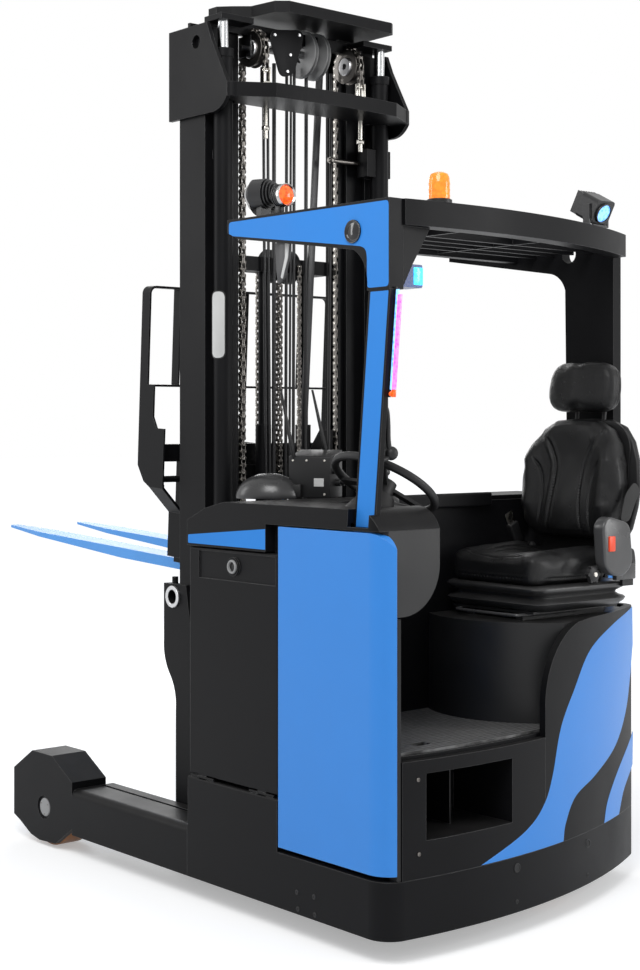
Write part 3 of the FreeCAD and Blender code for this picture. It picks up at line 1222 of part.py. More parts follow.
# ---------------------------------------------------------------- build every node
def build_base():
    drive_tyre, drive_hub, unit, slewing = make_drive()
    cover = make_lower_cover()
    keep("base_frame", joined([make_base(), slewing, cover, mirrored(cover), make_hinge_pins()]))
    tyre, hub, pin = make_load_wheels()
    leg = joined([make_leg(), make_housing(), pin])
    keep("reach_leg_left", leg)
    keep("reach_leg_right", mirrored(leg))
    keep("load_tyre_left", tyre)
    keep("load_hub_left", hub)
    keep("load_tyre_right", mirrored(tyre))
    keep("load_hub_right", mirrored(hub))
    keep("drive_tyre", drive_tyre)
    keep("drive_hub", drive_hub)
    keep("drive_unit", unit)


def build_body():
    keep("battery", make_battery())
    keep("battery_door", joined([make_door(), make_latch()]))
    keep("left_side_panel", make_side_panel(True))
    keep("right_side_panel", make_side_panel(False))
    keep("step_panel", joined([make_step_panel(), make_pocket()]))
    keep("rear_body", make_rear_body())
    floor, mat = make_floor()
    keep("cab_floor", floor)
    keep("floor_mat", mat)
    keep("hood", joined([make_hood(), make_console_cover()]).cut(make_post_left(HALF + 1)))
    keep("console", joined([make_console(), make_post_strip()]))
    wall, bar = make_front_wall()
    side_wall, rail = make_right_wall()
    keep("cab_walls", joined([wall, bar, side_wall, rail]))
    keep("battery_panels", joined([make_front_panel(), make_right_door()]))


def build_guard():
    keep("guard_left", joined([make_guard_left(), make_post_left()]))
    keep("guard_right", make_guard_right())
    keep("guard_rear_beam", joined([make_roof(), make_gusset()]))
    keep("guard_grille", joined([make_front_beam(), make_grille()]))
    front_lamp = make_work_lamp(HALF - 132, GUARD_TIP_Y + 66, ROOF_TOP - 2, 12)
    side_lamp = make_work_lamp(HALF - 58, GUARD_TIP_Y + 150, guard_top(GUARD_TIP_Y + 138), 20)
    keep("work_lamps", front_lamp, side_lamp)
    body, lens = make_rear_lamp()
    keep("tail_lamp", joined([body, lens]))
    base, lens = make_beacon()
    keep("beacon", joined([base, lens]))
    yoke, head, lens = make_spot()
    keep("blue_spot_lamp", joined([yoke, head, lens]))
    case, lens = make_zone_lamp()
    keep("post_lamp", joined([case, lens]))


def build_seat():
    rails, runners, plate, bellows, frame, pin, cushion = make_seat()
    keep("seat_pedestal", joined([make_pedestal()] + rails))
    keep("seat_frame", joined([plate] + runners), joined([frame, pin]))
    keep("seat_bellows", bellows)
    keep("seat_cushion", cushion)
    frame, back, head = make_seat_back()
    keep("seat_back_shell", frame)
    keep("seat_backrest", back)
    keep("seat_headrest", head)


def build_steering():
    wheel, column = make_steering()
    keep("steering_wheel", wheel)
    keep("steering_column", column)


def build_mast():
    upright = make_outer_upright()
    low_beam = block(-(MAST_HALF_WIDTH - WEB), MAST_HALF_WIDTH - WEB, MAST_REAR, MAST_REAR + 30, 110, 260)
    mid_beam = block(-(MAST_HALF_WIDTH - WEB), MAST_HALF_WIDTH - WEB, MAST_REAR, MAST_REAR + 14, 1180, 1260)
    barrel, piston_rod, barrel_low, rod_high = make_lift_cylinder()
    barrel_foot = block(CYLINDER_X - 45, MAST_HALF_WIDTH, MAST_REAR, CYLINDER_Y + 45, barrel_low - 20, barrel_low + 5)
    clip_z = CLOSED_HEIGHT - 545
    barrel_clip = block(CYLINDER_X - 12, CYLINDER_X + 12, MAST_REAR, CYLINDER_Y - 30, clip_z - 15, clip_z + 15)
    clamp = block(-MAST_HALF_WIDTH, -CYLINDER_X + 72, MAST_REAR, CYLINDER_Y + 12, clip_z - 17, clip_z + 86)
    clamp = clamp.cut(rod("z", (-CYLINDER_X, CYLINDER_Y, clip_z), BARREL_RADIUS - 2, 400))
    side = joined([upright, barrel, barrel_foot, barrel_clip])
    keep("mast_outer", joined([side, mirrored(side), clamp, low_beam, mid_beam]))
    bracket = make_top_bracket()
    cross = make_outer_cross_plate()
    for barrel_side in (-1, 1):
        cross = cross.cut(rod("z", (barrel_side * CYLINDER_X, CYLINDER_Y, OUTER_TOP), 40, 1200))
    keep("mast_top_frame", joined([bracket, mirrored(bracket), cross]))

    front, rear = stage_limits(1)
    room_front = MAST_FRONT + FLANGE
    room_rear = MAST_REAR - FLANGE
    middle = make_stage_upright(1, MIDDLE_WEB_X, MIDDLE_FLANGE_X, MAST_HALF_WIDTH - WEB - MOVING_GAP, MIDDLE_TOP)
    roller = make_stage_rollers(1, MIDDLE_WEB_X, room_front, room_rear, MAST_HALF_WIDTH - WEB - MOVING_GAP)
    ties = [
        block(-(MIDDLE_WEB_X + 2), MIDDLE_WEB_X + 2, rear - 10, rear + FLANGE + 8, MIDDLE_TOP - 42, MIDDLE_TOP),
        block(-(MIDDLE_WEB_X + 2), MIDDLE_WEB_X + 2, rear - 10, rear, MAST_FOOT + 10, MAST_FOOT + 120),
        block(-(MIDDLE_WEB_X + 2), MIDDLE_WEB_X + 2, rear - 10, rear, 1150, 1230),
    ]
    rod_tab = block(MIDDLE_FLANGE_X, CYLINDER_X + 34, rear, CYLINDER_Y + 34, MIDDLE_TOP - 20, MIDDLE_TOP)
    tabs = joined([rod_tab, block(MIDDLE_FLANGE_X, MIDDLE_WEB_X + 8, rear - 10, rear + 20, MIDDLE_TOP - 42, MIDDLE_TOP)])
    keep("mast_middle", joined([middle, mirrored(middle), roller, mirrored(roller), tabs, mirrored(tabs)] + ties))
    keep("lift_rods", *both_sides(piston_rod))

    inner = make_stage_upright(2, INNER_WEB_X, INNER_FLANGE_X, MIDDLE_WEB_X - MOVING_GAP, INNER_TOP)
    middle_room = (front + FLANGE - 1, rear - FLANGE + 1)
    roller = make_stage_rollers(2, INNER_WEB_X, middle_room[0], middle_room[1], MIDDLE_WEB_X - MOVING_GAP)
    inner_front, inner_rear = stage_limits(2)
    foot_tie = block(-(INNER_WEB_X + 2), INNER_WEB_X + 2, inner_rear - FOOT_TIE_DEPTH, inner_rear,
                     MAST_FOOT + 10, MAST_FOOT + 120)
    keep("mast_inner", joined([inner, mirrored(inner), roller, mirrored(roller), make_inner_top_plate(), foot_tie]))


def build_free_lift():
    """Twin free-lift cylinders inside the inner stage, with a cross head that carries the chain wheels."""
    front, rear = stage_limits(2)
    y = (front + rear) / 2
    base = block(-FREE_LIFT_BASE_HALF, FREE_LIFT_BASE_HALF, rear - 60, rear - 8, MAST_FOOT + 40, MAST_FOOT + 60)
    barrels = []
    rods = []
    for side in (-1, 1):
        x = side * FREE_LIFT_X
        low = MAST_FOOT + 60
        barrel = rod("z", (x, y, (low + FREE_LIFT_BARREL_TOP) / 2), 29, FREE_LIFT_BARREL_TOP - low)
        bore = rod("z", (x, y, (low + 30 + FREE_LIFT_BARREL_TOP) / 2 + 15), 19.0 + RUNNING_GAP,
                   FREE_LIFT_BARREL_TOP - low)
        barrels.append(barrel.cut(bore))
        rod_low = FREE_LIFT_BARREL_TOP - 620
        rods.append(rod("z", (x, y, (rod_low + FREE_LIFT_HEAD_Z) / 2), 19.0, FREE_LIFT_HEAD_Z - rod_low))
    head = block(-CROSS_HEAD_HALF, CROSS_HEAD_HALF, CHAIN_WHEEL_Y - 30, y + 24, FREE_LIFT_HEAD_Z,
                 FREE_LIFT_HEAD_Z + CROSS_HEAD_HEIGHT)
    wheels = []
    for side in (-1, 1):
        wheel = rod("x", (side * CHAIN_X, CHAIN_WHEEL_Y, FREE_LIFT_HEAD_Z + CROSS_HEAD_HEIGHT / 2),
                    CHAIN_WHEEL_RADIUS, CHAIN_WHEEL_WIDTH)
        wheels.append(wheel)
    return joined([base] + barrels), joined([head] + wheels + rods)


def build_carriage():
    frame, rollers = make_carriage()
    keep("fork_carriage", joined([frame] + rollers))
    shift, pins = make_side_shift()
    keep("side_shift_frame", joined([shift] + pins))
    keep("tilt_frame", tilt_up(joined([make_tilt_frame(), make_load_backrest()])))
    keep("fork_left", tilt_up(make_fork(FORK_HALF_SPREAD)))
    keep("fork_right", tilt_up(make_fork(-FORK_HALF_SPREAD)))


def build_reach():
    plate, boss, bolt, link, beam, rollers = make_reach_parts()
    side = joined([plate, boss, bolt, link] + rollers)
    keep("reach_carriage", joined([side, mirrored(side), beam]))


def main():
    os.makedirs("parts", exist_ok=True)
    build_base()
    build_body()
    build_guard()
    build_seat()
    build_steering()
    build_reach()
    build_mast()
    barrels, head = build_free_lift()
    keep("free_lift_cylinders", barrels)
    keep("free_lift_head", head)
    build_carriage()
    for name, shape in nodes.items():
        shape.exportStep("parts/" + name + ".step")
    print(len(nodes), "nodes")


main()
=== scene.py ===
"""Looks for the reach truck: finishes, seat, chains, hoses, lamps and small fittings."""

import math

import bmesh
import bpy
import numpy as np
from mathutils import Matrix, Vector


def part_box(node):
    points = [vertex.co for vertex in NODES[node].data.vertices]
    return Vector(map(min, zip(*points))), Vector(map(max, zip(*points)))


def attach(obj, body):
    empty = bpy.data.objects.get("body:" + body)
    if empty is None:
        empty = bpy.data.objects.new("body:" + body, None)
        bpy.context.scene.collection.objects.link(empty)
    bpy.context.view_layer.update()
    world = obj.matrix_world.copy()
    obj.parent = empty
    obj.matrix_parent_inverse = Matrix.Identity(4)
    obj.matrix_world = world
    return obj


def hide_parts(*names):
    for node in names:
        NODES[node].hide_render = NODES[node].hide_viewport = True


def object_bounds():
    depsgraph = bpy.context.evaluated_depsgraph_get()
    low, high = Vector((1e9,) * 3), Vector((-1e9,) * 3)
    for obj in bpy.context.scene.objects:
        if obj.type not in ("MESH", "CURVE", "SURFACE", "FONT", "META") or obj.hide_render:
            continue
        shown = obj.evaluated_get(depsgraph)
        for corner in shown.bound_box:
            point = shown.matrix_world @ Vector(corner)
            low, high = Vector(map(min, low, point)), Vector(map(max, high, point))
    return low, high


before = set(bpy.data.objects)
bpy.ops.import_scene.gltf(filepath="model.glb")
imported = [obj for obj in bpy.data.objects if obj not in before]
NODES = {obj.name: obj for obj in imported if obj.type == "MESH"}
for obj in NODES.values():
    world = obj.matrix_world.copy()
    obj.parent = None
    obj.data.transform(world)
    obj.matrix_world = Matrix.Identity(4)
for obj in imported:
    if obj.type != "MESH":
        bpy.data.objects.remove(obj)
CAD_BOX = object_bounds()

# ---------------------------------------------------------------- places taken from the frame (metres)
BASE_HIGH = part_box("base_frame")[1]
HALF = BASE_HIGH.x
REAR = BASE_HIGH.y
HOOD_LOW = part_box("hood")[0]
PANEL_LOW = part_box("left_side_panel")[0]
GUARD_LOW, GUARD_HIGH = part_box("guard_left")
CUSHION_LOW, CUSHION_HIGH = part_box("seat_cushion")
BELLOWS_LOW, BELLOWS_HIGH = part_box("seat_bellows")
CLOSED_HEIGHT = CAD_BOX[1].z

# The chassis' curved back is an arc of this radius, with its middle off the centre line.
REAR_CURVE = 2.150
REAR_CURVE_X = 0.300

SEAT_Y = (CUSHION_LOW.y + CUSHION_HIGH.y) / 2
SEAT_PIVOT = Vector((CUSHION_LOW.x - 0.052, SEAT_Y, CUSHION_LOW.z + 0.035))
SEAT_LEAN = -7.0

# The slanted guard post on the left: heights of its foot and top, and Y of its edges at both.
POST_FOOT, POST_TOP = 1.261, 1.952
POST_FRONT = (1.304, 1.368)
POST_REAR = (1.396, 1.461)

LATCH = (HALF, 0.751, 1.108)
LOAD_AXLE_Y, LOAD_AXLE_Z = -0.393, 0.1425
REACH_EYE = (0.504, 0.172, 0.955)
PLUG_Y, PLUG_Z = 1.300, 2.129
HOOD_TOP = 1.313


def rear_face(x, proud=0.0):
    """Y of the truck's curved back at a given X."""
    radius = REAR_CURVE + proud
    return REAR - REAR_CURVE + math.sqrt(radius ** 2 - (x - REAR_CURVE_X) ** 2)


# ---------------------------------------------------------------- shader nodes
def feed(tree, socket, value):
    """Link a socket to another, or give it a plain value; a colour of three parts gets its alpha."""
    if isinstance(value, bpy.types.NodeSocket):
        tree.links.new(value, socket)
    elif socket.type == "RGBA" and len(value) == 3:
        socket.default_value = (*value, 1)
    else:
        socket.default_value = value


def add_node(tree, kind, inputs=None, **settings):
    """A shader node with its settings made and its inputs fed."""
    node = tree.nodes.new("ShaderNode" + kind)
    for name, value in settings.items():
        setattr(node, name, value)
    for name, value in (inputs or {}).items():
        feed(tree, node.inputs[name], value)
    return node


def join_math(tree, operation, *values):
    return add_node(tree, "Math", dict(enumerate(values)), operation=operation).outputs[0]


def map_range(tree, value, low, high, to_low=0.0, to_high=1.0, **settings):
    inputs = {"Value": value, "From Min": low, "From Max": high, "To Min": to_low, "To Max": to_high}
    return add_node(tree, "MapRange", inputs, **settings).outputs["Result"]


def noise(tree, place, scale, detail=3.0, roughness=0.55):
    inputs = {"Vector": place, "Scale": scale, "Detail": detail, "Roughness": roughness}
    return add_node(tree, "TexNoise", inputs).outputs["Fac"]


# ---------------------------------------------------------------- camera, lamps and floor
CAMERA_PLACE = (3.909, 4.956, 1.563)
CAMERA_TURN = (90.0, 0.0, 139.5)
LENS, SENSOR_WIDTH, LENS_SHIFT = 61.7, 36.0, -0.063


def make_camera():
    """Camera at eye height behind the truck's left side, kept level and shifted down."""
    data = bpy.data.cameras.new("camera")
    data.lens = LENS
    data.sensor_width = SENSOR_WIDTH
    data.shift_y = LENS_SHIFT
    camera = bpy.data.objects.new("camera", data)
    bpy.context.scene.collection.objects.link(camera)
    camera.location = CAMERA_PLACE
    camera.rotation_euler = [math.radians(angle) for angle in CAMERA_TURN]
    bpy.context.scene.camera = camera


def area_lamp(name, place, target, size, power):
    """Soft lamp that looks at a target."""
    data = bpy.data.lights.new(name, "AREA")
    data.shape = "RECTANGLE"
    data.size, data.size_y = size
    data.energy = power
    lamp = bpy.data.objects.new(name, data)
    bpy.context.scene.collection.objects.link(lamp)
    lamp.location = place
    aim = Vector(target) - Vector(place)
    lamp.rotation_euler = aim.to_track_quat("-Z", "Y").to_euler()


def make_lamps():
    """Key light from the left rear, and fills from the other corners."""
    area_lamp("key", (3.4, 3.2, 5.2), (0.1, 0.4, 1.0), (2.6, 2.6), 190)
    area_lamp("rear_right", (-3.4, 5.6, 2.6), (-0.2, 1.1, 1.0), (1.6, 3.2), 130)
    area_lamp("front_left", (4.2, -3.6, 3.4), (0.2, -0.2, 1.2), (1.2, 3.4), 70)
    area_lamp("front_right", (-3.0, -4.6, 3.6), (0.0, -0.4, 1.2), (2.4, 2.8), 90)


def backdrop_rays(tree):
    """One for rays that show the backdrop: straight to the camera, or by gloss or glass."""
    path = add_node(tree, "LightPath").outputs
    seen = join_math(tree, "MAXIMUM", path["Is Camera Ray"], path["Is Glossy Ray"])
    return join_math(tree, "MAXIMUM", seen, path["Is Transmission Ray"])


def make_world():
    """Soft, slightly cool light all round, and a white backdrop."""
    world = bpy.data.worlds.new("studio")
    bpy.context.scene.world = world
    world.use_nodes = True
    tree = world.node_tree
    tree.nodes.clear()
    soft = add_node(tree, "Background", {"Color": (0.93, 0.96, 1.0), "Strength": 0.5})
    white = add_node(tree, "Background", {"Color": (1, 1, 1), "Strength": 1.0})
    mix = add_node(tree, "MixShader", {0: backdrop_rays(tree), 1: soft.outputs[0], 2: white.outputs[0]})
    add_node(tree, "OutputWorld", {"Surface": mix.outputs[0]})


FLOOR_TONE = (0.82, 0.82, 0.82)
FLOOR_GLOW_NEAR, FLOOR_GLOW_FAR = 0.36, 0.68
FLOOR_FADE_NEAR, FLOOR_FADE_FAR = 1.6, 4.5


def make_floor():
    """Pale floor that keeps the truck's shadow and fades into the backdrop."""
    bm = bmesh.new()
    bmesh.ops.create_grid(bm, x_segments=2, y_segments=2, size=60)
    mesh = bpy.data.meshes.new("floor")
    bm.to_mesh(mesh)
    bm.free()
    floor = bpy.data.objects.new("floor", mesh)
    bpy.context.scene.collection.objects.link(floor)
    material = bpy.data.materials.new("pale_floor")
    material.use_nodes = True
    tree = material.node_tree
    tree.nodes.clear()
    diffuse = add_node(tree, "BsdfDiffuse", {"Color": FLOOR_TONE})
    place = add_node(tree, "TexCoord").outputs["Object"]
    far = add_node(tree, "VectorMath", {0: place}, operation="LENGTH").outputs["Value"]
    fade = map_range(tree, far, FLOOR_FADE_NEAR, FLOOR_FADE_FAR, FLOOR_GLOW_NEAR, FLOOR_GLOW_FAR,
                     interpolation_type="SMOOTHSTEP")
    glow = add_node(tree, "Emission", {"Strength": backdrop_rays(tree), "Color": fade})
    both = add_node(tree, "AddShader", {0: diffuse.outputs[0], 1: glow.outputs[0]})
    add_node(tree, "OutputMaterial", {"Surface": both.outputs[0]})
    mesh.materials.append(material)


# ---------------------------------------------------------------- effects shared by the finishes
def new_group(name, inputs, outputs):
    """An empty shader group with its sockets; inputs are (name, kind, value)."""
    tree = bpy.data.node_groups.new(name, "ShaderNodeTree")
    for label, kind, value in inputs:
        socket = tree.interface.new_socket(label, in_out="INPUT", socket_type="NodeSocket" + kind)
        if value is not None:
            socket.default_value = value
    for label, kind in outputs:
        tree.interface.new_socket(label, in_out="OUTPUT", socket_type="NodeSocket" + kind)
    return tree, tree.nodes.new("NodeGroupInput").outputs


def close_group(tree, **values):
    """Link what the group puts out."""
    put = tree.nodes.new("NodeGroupOutput")
    for name, value in values.items():
        tree.links.new(value, put.inputs[name])
    return tree


def make_grain_group():
    """Fine orange peel with a broad, cloudy change of tone, and upright rub marks."""
    tree, given = new_group("surface_grain", [
        ("Place", "Vector", None), ("Fine scale", "Float", 900.0), ("Broad scale", "Float", 4.0),
    ], [("Height", "Float"), ("Cloud", "Float"), ("Rub", "Float")])
    fine = noise(tree, given["Place"], given["Fine scale"], 2.0)
    cloud = noise(tree, given["Place"], given["Broad scale"], 4.0)
    stretch = add_node(tree, "Mapping", {"Vector": given["Place"], "Scale": (1.0, 1.0, 0.16)})
    rub = map_range(tree, noise(tree, stretch.outputs[0], 46.0, 5.0, 0.7), 0.56, 0.72)
    return close_group(tree, Height=fine, Cloud=cloud, Rub=rub)


def make_edge_group():
    """Rounded normals at sharp edges, and a mask of those edges."""
    tree, given = new_group("eased_edges", [("Radius", "Float", 0.002)],
                            [("Normal", "Vector"), ("Edge", "Float")])
    ease = add_node(tree, "Bevel", {"Radius": given["Radius"]}, samples=4).outputs[0]
    flat = add_node(tree, "NewGeometry").outputs["Normal"]
    match = add_node(tree, "VectorMath", {0: ease, 1: flat}, operation="DOT_PRODUCT").outputs["Value"]
    return close_group(tree, Normal=ease, Edge=map_range(tree, match, 0.985, 0.80))


def make_dust_group():
    """Thin dust that settles on faces that look up."""
    tree, given = new_group("settled_dust", [("Place", "Vector", None), ("Amount", "Float", 0.1)],
                            [("Mask", "Float")])
    face = add_node(tree, "NewGeometry").outputs["Normal"]
    upward = join_math(tree, "MAXIMUM", add_node(tree, "SeparateXYZ", {0: face}).outputs["Z"], 0.0)
    mask = join_math(tree, "MULTIPLY", upward, noise(tree, given["Place"], 14.0, 5.0))
    return close_group(tree, Mask=join_math(tree, "MULTIPLY", mask, given["Amount"]))


def make_hide_group():
    """Leather grain: small cells with soft creases between them."""
    tree, given = new_group("hide_grain", [("Place", "Vector", None), ("Scale", "Float", 420.0)],
                            [("Height", "Float"), ("Tone", "Float")])
    cells = add_node(tree, "TexVoronoi", {"Vector": given["Place"], "Scale": given["Scale"]},
                     feature="DISTANCE_TO_EDGE")
    crease = map_range(tree, cells.outputs["Distance"], 0.0, 0.12)
    folds = noise(tree, given["Place"], 38.0, 5.0, 0.6)
    return close_group(tree, Height=join_math(tree, "MULTIPLY_ADD", folds, 0.6, crease), Tone=folds)


def make_line_group():
    """Distance of a point inside a straight border: dot product with its inward side, less an offset."""
    tree, given = new_group("inside_border", [
        ("Place", "Vector", None), ("Inward", "Vector", None), ("Offset", "Float", 0.0),
    ], [("Distance", "Float")])
    dot = add_node(tree, "VectorMath", {0: given["Place"], 1: given["Inward"]}, operation="DOT_PRODUCT")
    return close_group(tree, Distance=join_math(tree, "SUBTRACT", dot.outputs["Value"], given["Offset"]))


GRAIN = make_grain_group()
EDGES = make_edge_group()
DUST = make_dust_group()
HIDE = make_hide_group()
BORDER = make_line_group()


# ---------------------------------------------------------------- finishes
class Finish:
    """One material: a Principled shader with object coordinates at hand."""

    def __init__(self, name):
        self.material = bpy.data.materials.new(name)
        self.material.use_nodes = True
        self.tree = self.material.node_tree
        self.tree.nodes.clear()
        self.shader = self.node("BsdfPrincipled")
        self.node("OutputMaterial", {"Surface": self.shader.outputs[0]})
        self.place = self.node("TexCoord").outputs["Object"]

    def node(self, kind, inputs=None, **settings):
        return add_node(self.tree, kind, inputs, **settings)

    def set(self, **values):
        """Feed the shader's sockets, named with underscores."""
        for name, value in values.items():
            feed(self.tree, self.shader.inputs[name.replace("_", " ").title().replace("Ior", "IOR")], value)

    def group(self, tree, **values):
        node = self.node("Group", node_tree=tree)
        if "Place" in node.inputs:
            feed(self.tree, node.inputs["Place"], self.place)
        for name, value in values.items():
            node.inputs[name.replace("_", " ").capitalize()].default_value = value
        return node.outputs

    def blend(self, factor, first, second):
        """Colour between two, by a mask; each is a colour or a socket."""
        return self.node("Mix", {0: factor, 6: first, 7: second}, data_type="RGBA").outputs[2]

    def math(self, operation, *values):
        return join_math(self.tree, operation, *values)

    def span(self, value, low, high, to_low=0.0, to_high=1.0):
        return map_range(self.tree, value, low, high, to_low, to_high)

    def bump(self, height, distance, under=None):
        """Small relief over the normal given as under, put on the shader."""
        inputs = {"Strength": 1.0, "Distance": distance, "Height": height}
        if under is not None:
            inputs["Normal"] = under
        side = self.node("Bump", inputs).outputs[0]
        self.set(normal=side)
        return side


def tone(colour, factor):
    """Colour made darker or lighter by a factor."""
    return tuple(min(1.0, part * factor) for part in colour)


EDGE_SHEEN = 0.8
COAT_DUST = (0.28, 0.27, 0.25)
PLASTIC_DUST = (0.2, 0.19, 0.18)
MAT_DUST = (0.16, 0.155, 0.15)


def coated(name, colour, rough=0.42, specular=0.09, edge=(0.075, 0.075, 0.078), wear=0.4, dust=0.05,
           radius=0.0022, peel=0.00012, fine=650.0, badge=None, cloud=0.13):
    """Painted or powder-coated sheet; badge(finish) may give a mask and the colour it shows."""
    finish = Finish(name)
    grain = finish.group(GRAIN, fine_scale=fine)
    edges = finish.group(EDGES, radius=radius)
    dusty = finish.group(DUST, amount=dust)
    shade = finish.blend(finish.span(grain["Cloud"], 0.35, 0.7),
                         tone(colour, 1 - cloud), tone(colour, 1 + cloud))
    if badge is not None:
        mask, second = badge(finish)
        shown = finish.blend(grain["Cloud"], tone(second, 0.94), tone(second, 1.06))
        shade = finish.blend(mask, shade, shown)
    # Eased edges take the edge colour, broken up by rub marks: real rubbed wear where the edge colour is bare
    # metal, and a painted highlight where it is only a lighter tone of the paint, as on the black and the
    # blue.
    worn_and_highlit_edges = finish.math("MULTIPLY", edges["Edge"], finish.math("MULTIPLY_ADD", grain["Rub"], 0.75, 0.25))
    shade = finish.blend(finish.math("MULTIPLY", worn_and_highlit_edges, wear), shade, edge)
    finish.set(base_color=finish.blend(dusty["Mask"], shade, COAT_DUST),
               roughness=finish.span(grain["Cloud"], 0.3, 0.75, rough - 0.4 * cloud, rough + 0.5 * cloud),
               specular_ior_level=finish.math("MULTIPLY_ADD", edges["Edge"], EDGE_SHEEN, specular))
    finish.bump(grain["Height"], peel, edges["Normal"])
    return finish.material


def metal(name, colour, rough=0.3, brushed=True, wear=0.3):
    """Bare or plated metal with fine brushing and darker handling marks."""
    finish = Finish(name)
    grain = finish.group(GRAIN, fine_scale=1500.0, broad_scale=9.0)
    marks = finish.math("MULTIPLY", grain["Rub"], wear)
    finish.set(base_color=finish.blend(marks, colour, tone(colour, 0.45)),
               roughness=finish.span(grain["Cloud"], 0.3, 0.8, rough - 0.06, rough + 0.12), metallic=1.0)
    if brushed:
        finish.bump(grain["Height"], 0.00004, finish.group(EDGES, radius=0.001)["Normal"])
    return finish.material


def rubber(name, colour, rough=0.55, specular=0.25, fine=1400.0, depth=0.0001):
    """Moulded rubber or plastic with a fine texture."""
    finish = Finish(name)
    grain = finish.group(GRAIN, fine_scale=fine, broad_scale=7.0)
    edges = finish.group(EDGES, radius=0.0015)
    dusty = finish.group(DUST, amount=0.06)
    shade = finish.blend(grain["Cloud"], tone(colour, 0.8), tone(colour, 1.3))
    # Edges are painted 3.5 times lighter: a painted highlight along them.
    shade = finish.blend(finish.math("MULTIPLY", edges["Edge"], 0.25), shade, tone(colour, 3.5))
    finish.set(base_color=finish.blend(dusty["Mask"], shade, PLASTIC_DUST), specular_ior_level=specular,
               roughness=finish.span(grain["Cloud"], 0.3, 0.75, rough - 0.06, rough + 0.08))
    finish.bump(grain["Height"], depth, edges["Normal"])
    return finish.material


def lit(name, colour, strength, rim):
    """A lamp's lens that is switched on, brighter at its middle facets."""
    finish = Finish(name)
    facet = finish.node("TexVoronoi", {"Scale": 90.0, "Vector": finish.place}).outputs["Distance"]
    finish.set(base_color=tone(colour, 0.8), roughness=0.15, emission_strength=strength,
               emission_color=finish.blend(finish.span(facet, 0.0, 0.7), colour, rim))
    finish.bump(facet, 0.0006)
    return finish.material


def clear(name, colour=(0.9, 0.95, 1.0), rough=0.05):
    """Clear glass or plastic with a faint change of tone."""
    finish = Finish(name)
    grain = finish.group(GRAIN, fine_scale=300.0)
    finish.set(base_color=finish.blend(grain["Cloud"], colour, tone(colour, 0.93)), transmission_weight=0.9,
               roughness=finish.span(grain["Cloud"], 0.3, 0.8, rough, rough + 0.05), ior=1.45)
    return finish.material


# ---------------------------------------------------------------- liveries on the frame's own pieces
BLACK = (0.0055, 0.0055, 0.0062)
BLUE = (0.034, 0.225, 0.66)
BORDER_BLUR = 0.0004


def border(finish, first, second, side=1.0):
    """Distance inside the straight border from first to second, drawn as (y, z), kept on its left side."""
    run = Vector((0.0, second[0] - first[0], second[1] - first[1])).normalized()
    inward = Vector((0.0, -run.z, run.y)) * side
    offset = inward.y * first[0] + inward.z * first[1]
    return finish.group(BORDER, inward=inward, offset=offset)["Distance"]


def upright(finish, y, side=1.0):
    """Border along a vertical line; a side of 1 keeps what lies in front of it, -1 what lies behind."""
    return border(finish, (y, 0.0), (y, 1.0), side)


def level(finish, z, side=1.0):
    """Border along a level line; a side of 1 keeps what lies above it, -1 what lies below."""
    return border(finish, (0.0, z), (1.0, z), side)


def within(finish, field, borders, radius):
    """Keep what lies inside all the borders, with rounded corners."""
    for side in borders:
        field = finish.math("SMOOTH_MIN", field, side, radius)
    return field


def outer_face(finish, x):
    """One on faces that look to the left, at or beyond a given X."""
    normal = finish.node("SeparateXYZ", {0: finish.node("NewGeometry").outputs["Normal"]}).outputs["X"]
    spot = finish.node("SeparateXYZ", {0: finish.place}).outputs["X"]
    facing = finish.math("GREATER_THAN", normal, 0.7)
    return finish.math("MULTIPLY", facing, finish.math("GREATER_THAN", spot, x))


def crisp(finish, distance):
    """Mask of what lies inside a border, with a hair of blur."""
    return finish.span(distance, -BORDER_BLUR, BORDER_BLUR)


def guard_badge(finish):
    """Blue wedge on the left roof plate and blue strip on the post, inside a black border."""
    edge = 0.008
    tip, back, roof = GUARD_LOW.y, GUARD_HIGH.y, GUARD_HIGH.z
    slant = border(finish, (tip + 0.060, roof - 0.066 + edge), (PLUG_Y, roof - 0.139 + edge))
    wedge = finish.math("SMOOTH_MAX", slant, upright(finish, 1.352 + edge, -1.0), 0.05)
    wedge = within(finish, wedge, (
        border(finish, (tip, roof - edge), (back, roof - 0.004 - edge), -1.0), upright(finish, back - edge),
        upright(finish, tip + edge, -1.0), level(finish, roof - 0.260)), 0.02)
    front, rear = [border(finish, (low + gap, POST_FOOT), (high + gap, POST_TOP), side)
                   for (low, high), gap, side in ((POST_FRONT, edge, -1.0), (POST_REAR, -edge, 1.0))]
    strip = within(finish, within(finish, front, [rear], 0.002), [level(finish, roof - 0.272, -1.0)], 0.004)
    both = finish.math("MAXIMUM", crisp(finish, wedge), crisp(finish, strip))
    return finish.math("MULTIPLY", both, outer_face(finish, GUARD_HIGH.x - 0.003)), BLUE


def hood_badge(finish):
    """Slim blue wedge low on the hood's left side."""
    front, back, low = HOOD_LOW.y, PANEL_LOW.y, HOOD_LOW.z
    wedge = within(finish, upright(finish, front + 0.006, -1.0), (
        upright(finish, back - 0.012), level(finish, low + 0.007),
        border(finish, (front, low + 0.034), (back, low + 0.077), -1.0)), 0.006)
    return finish.math("MULTIPLY", crisp(finish, wedge), outer_face(finish, HALF - 0.003)), BLUE


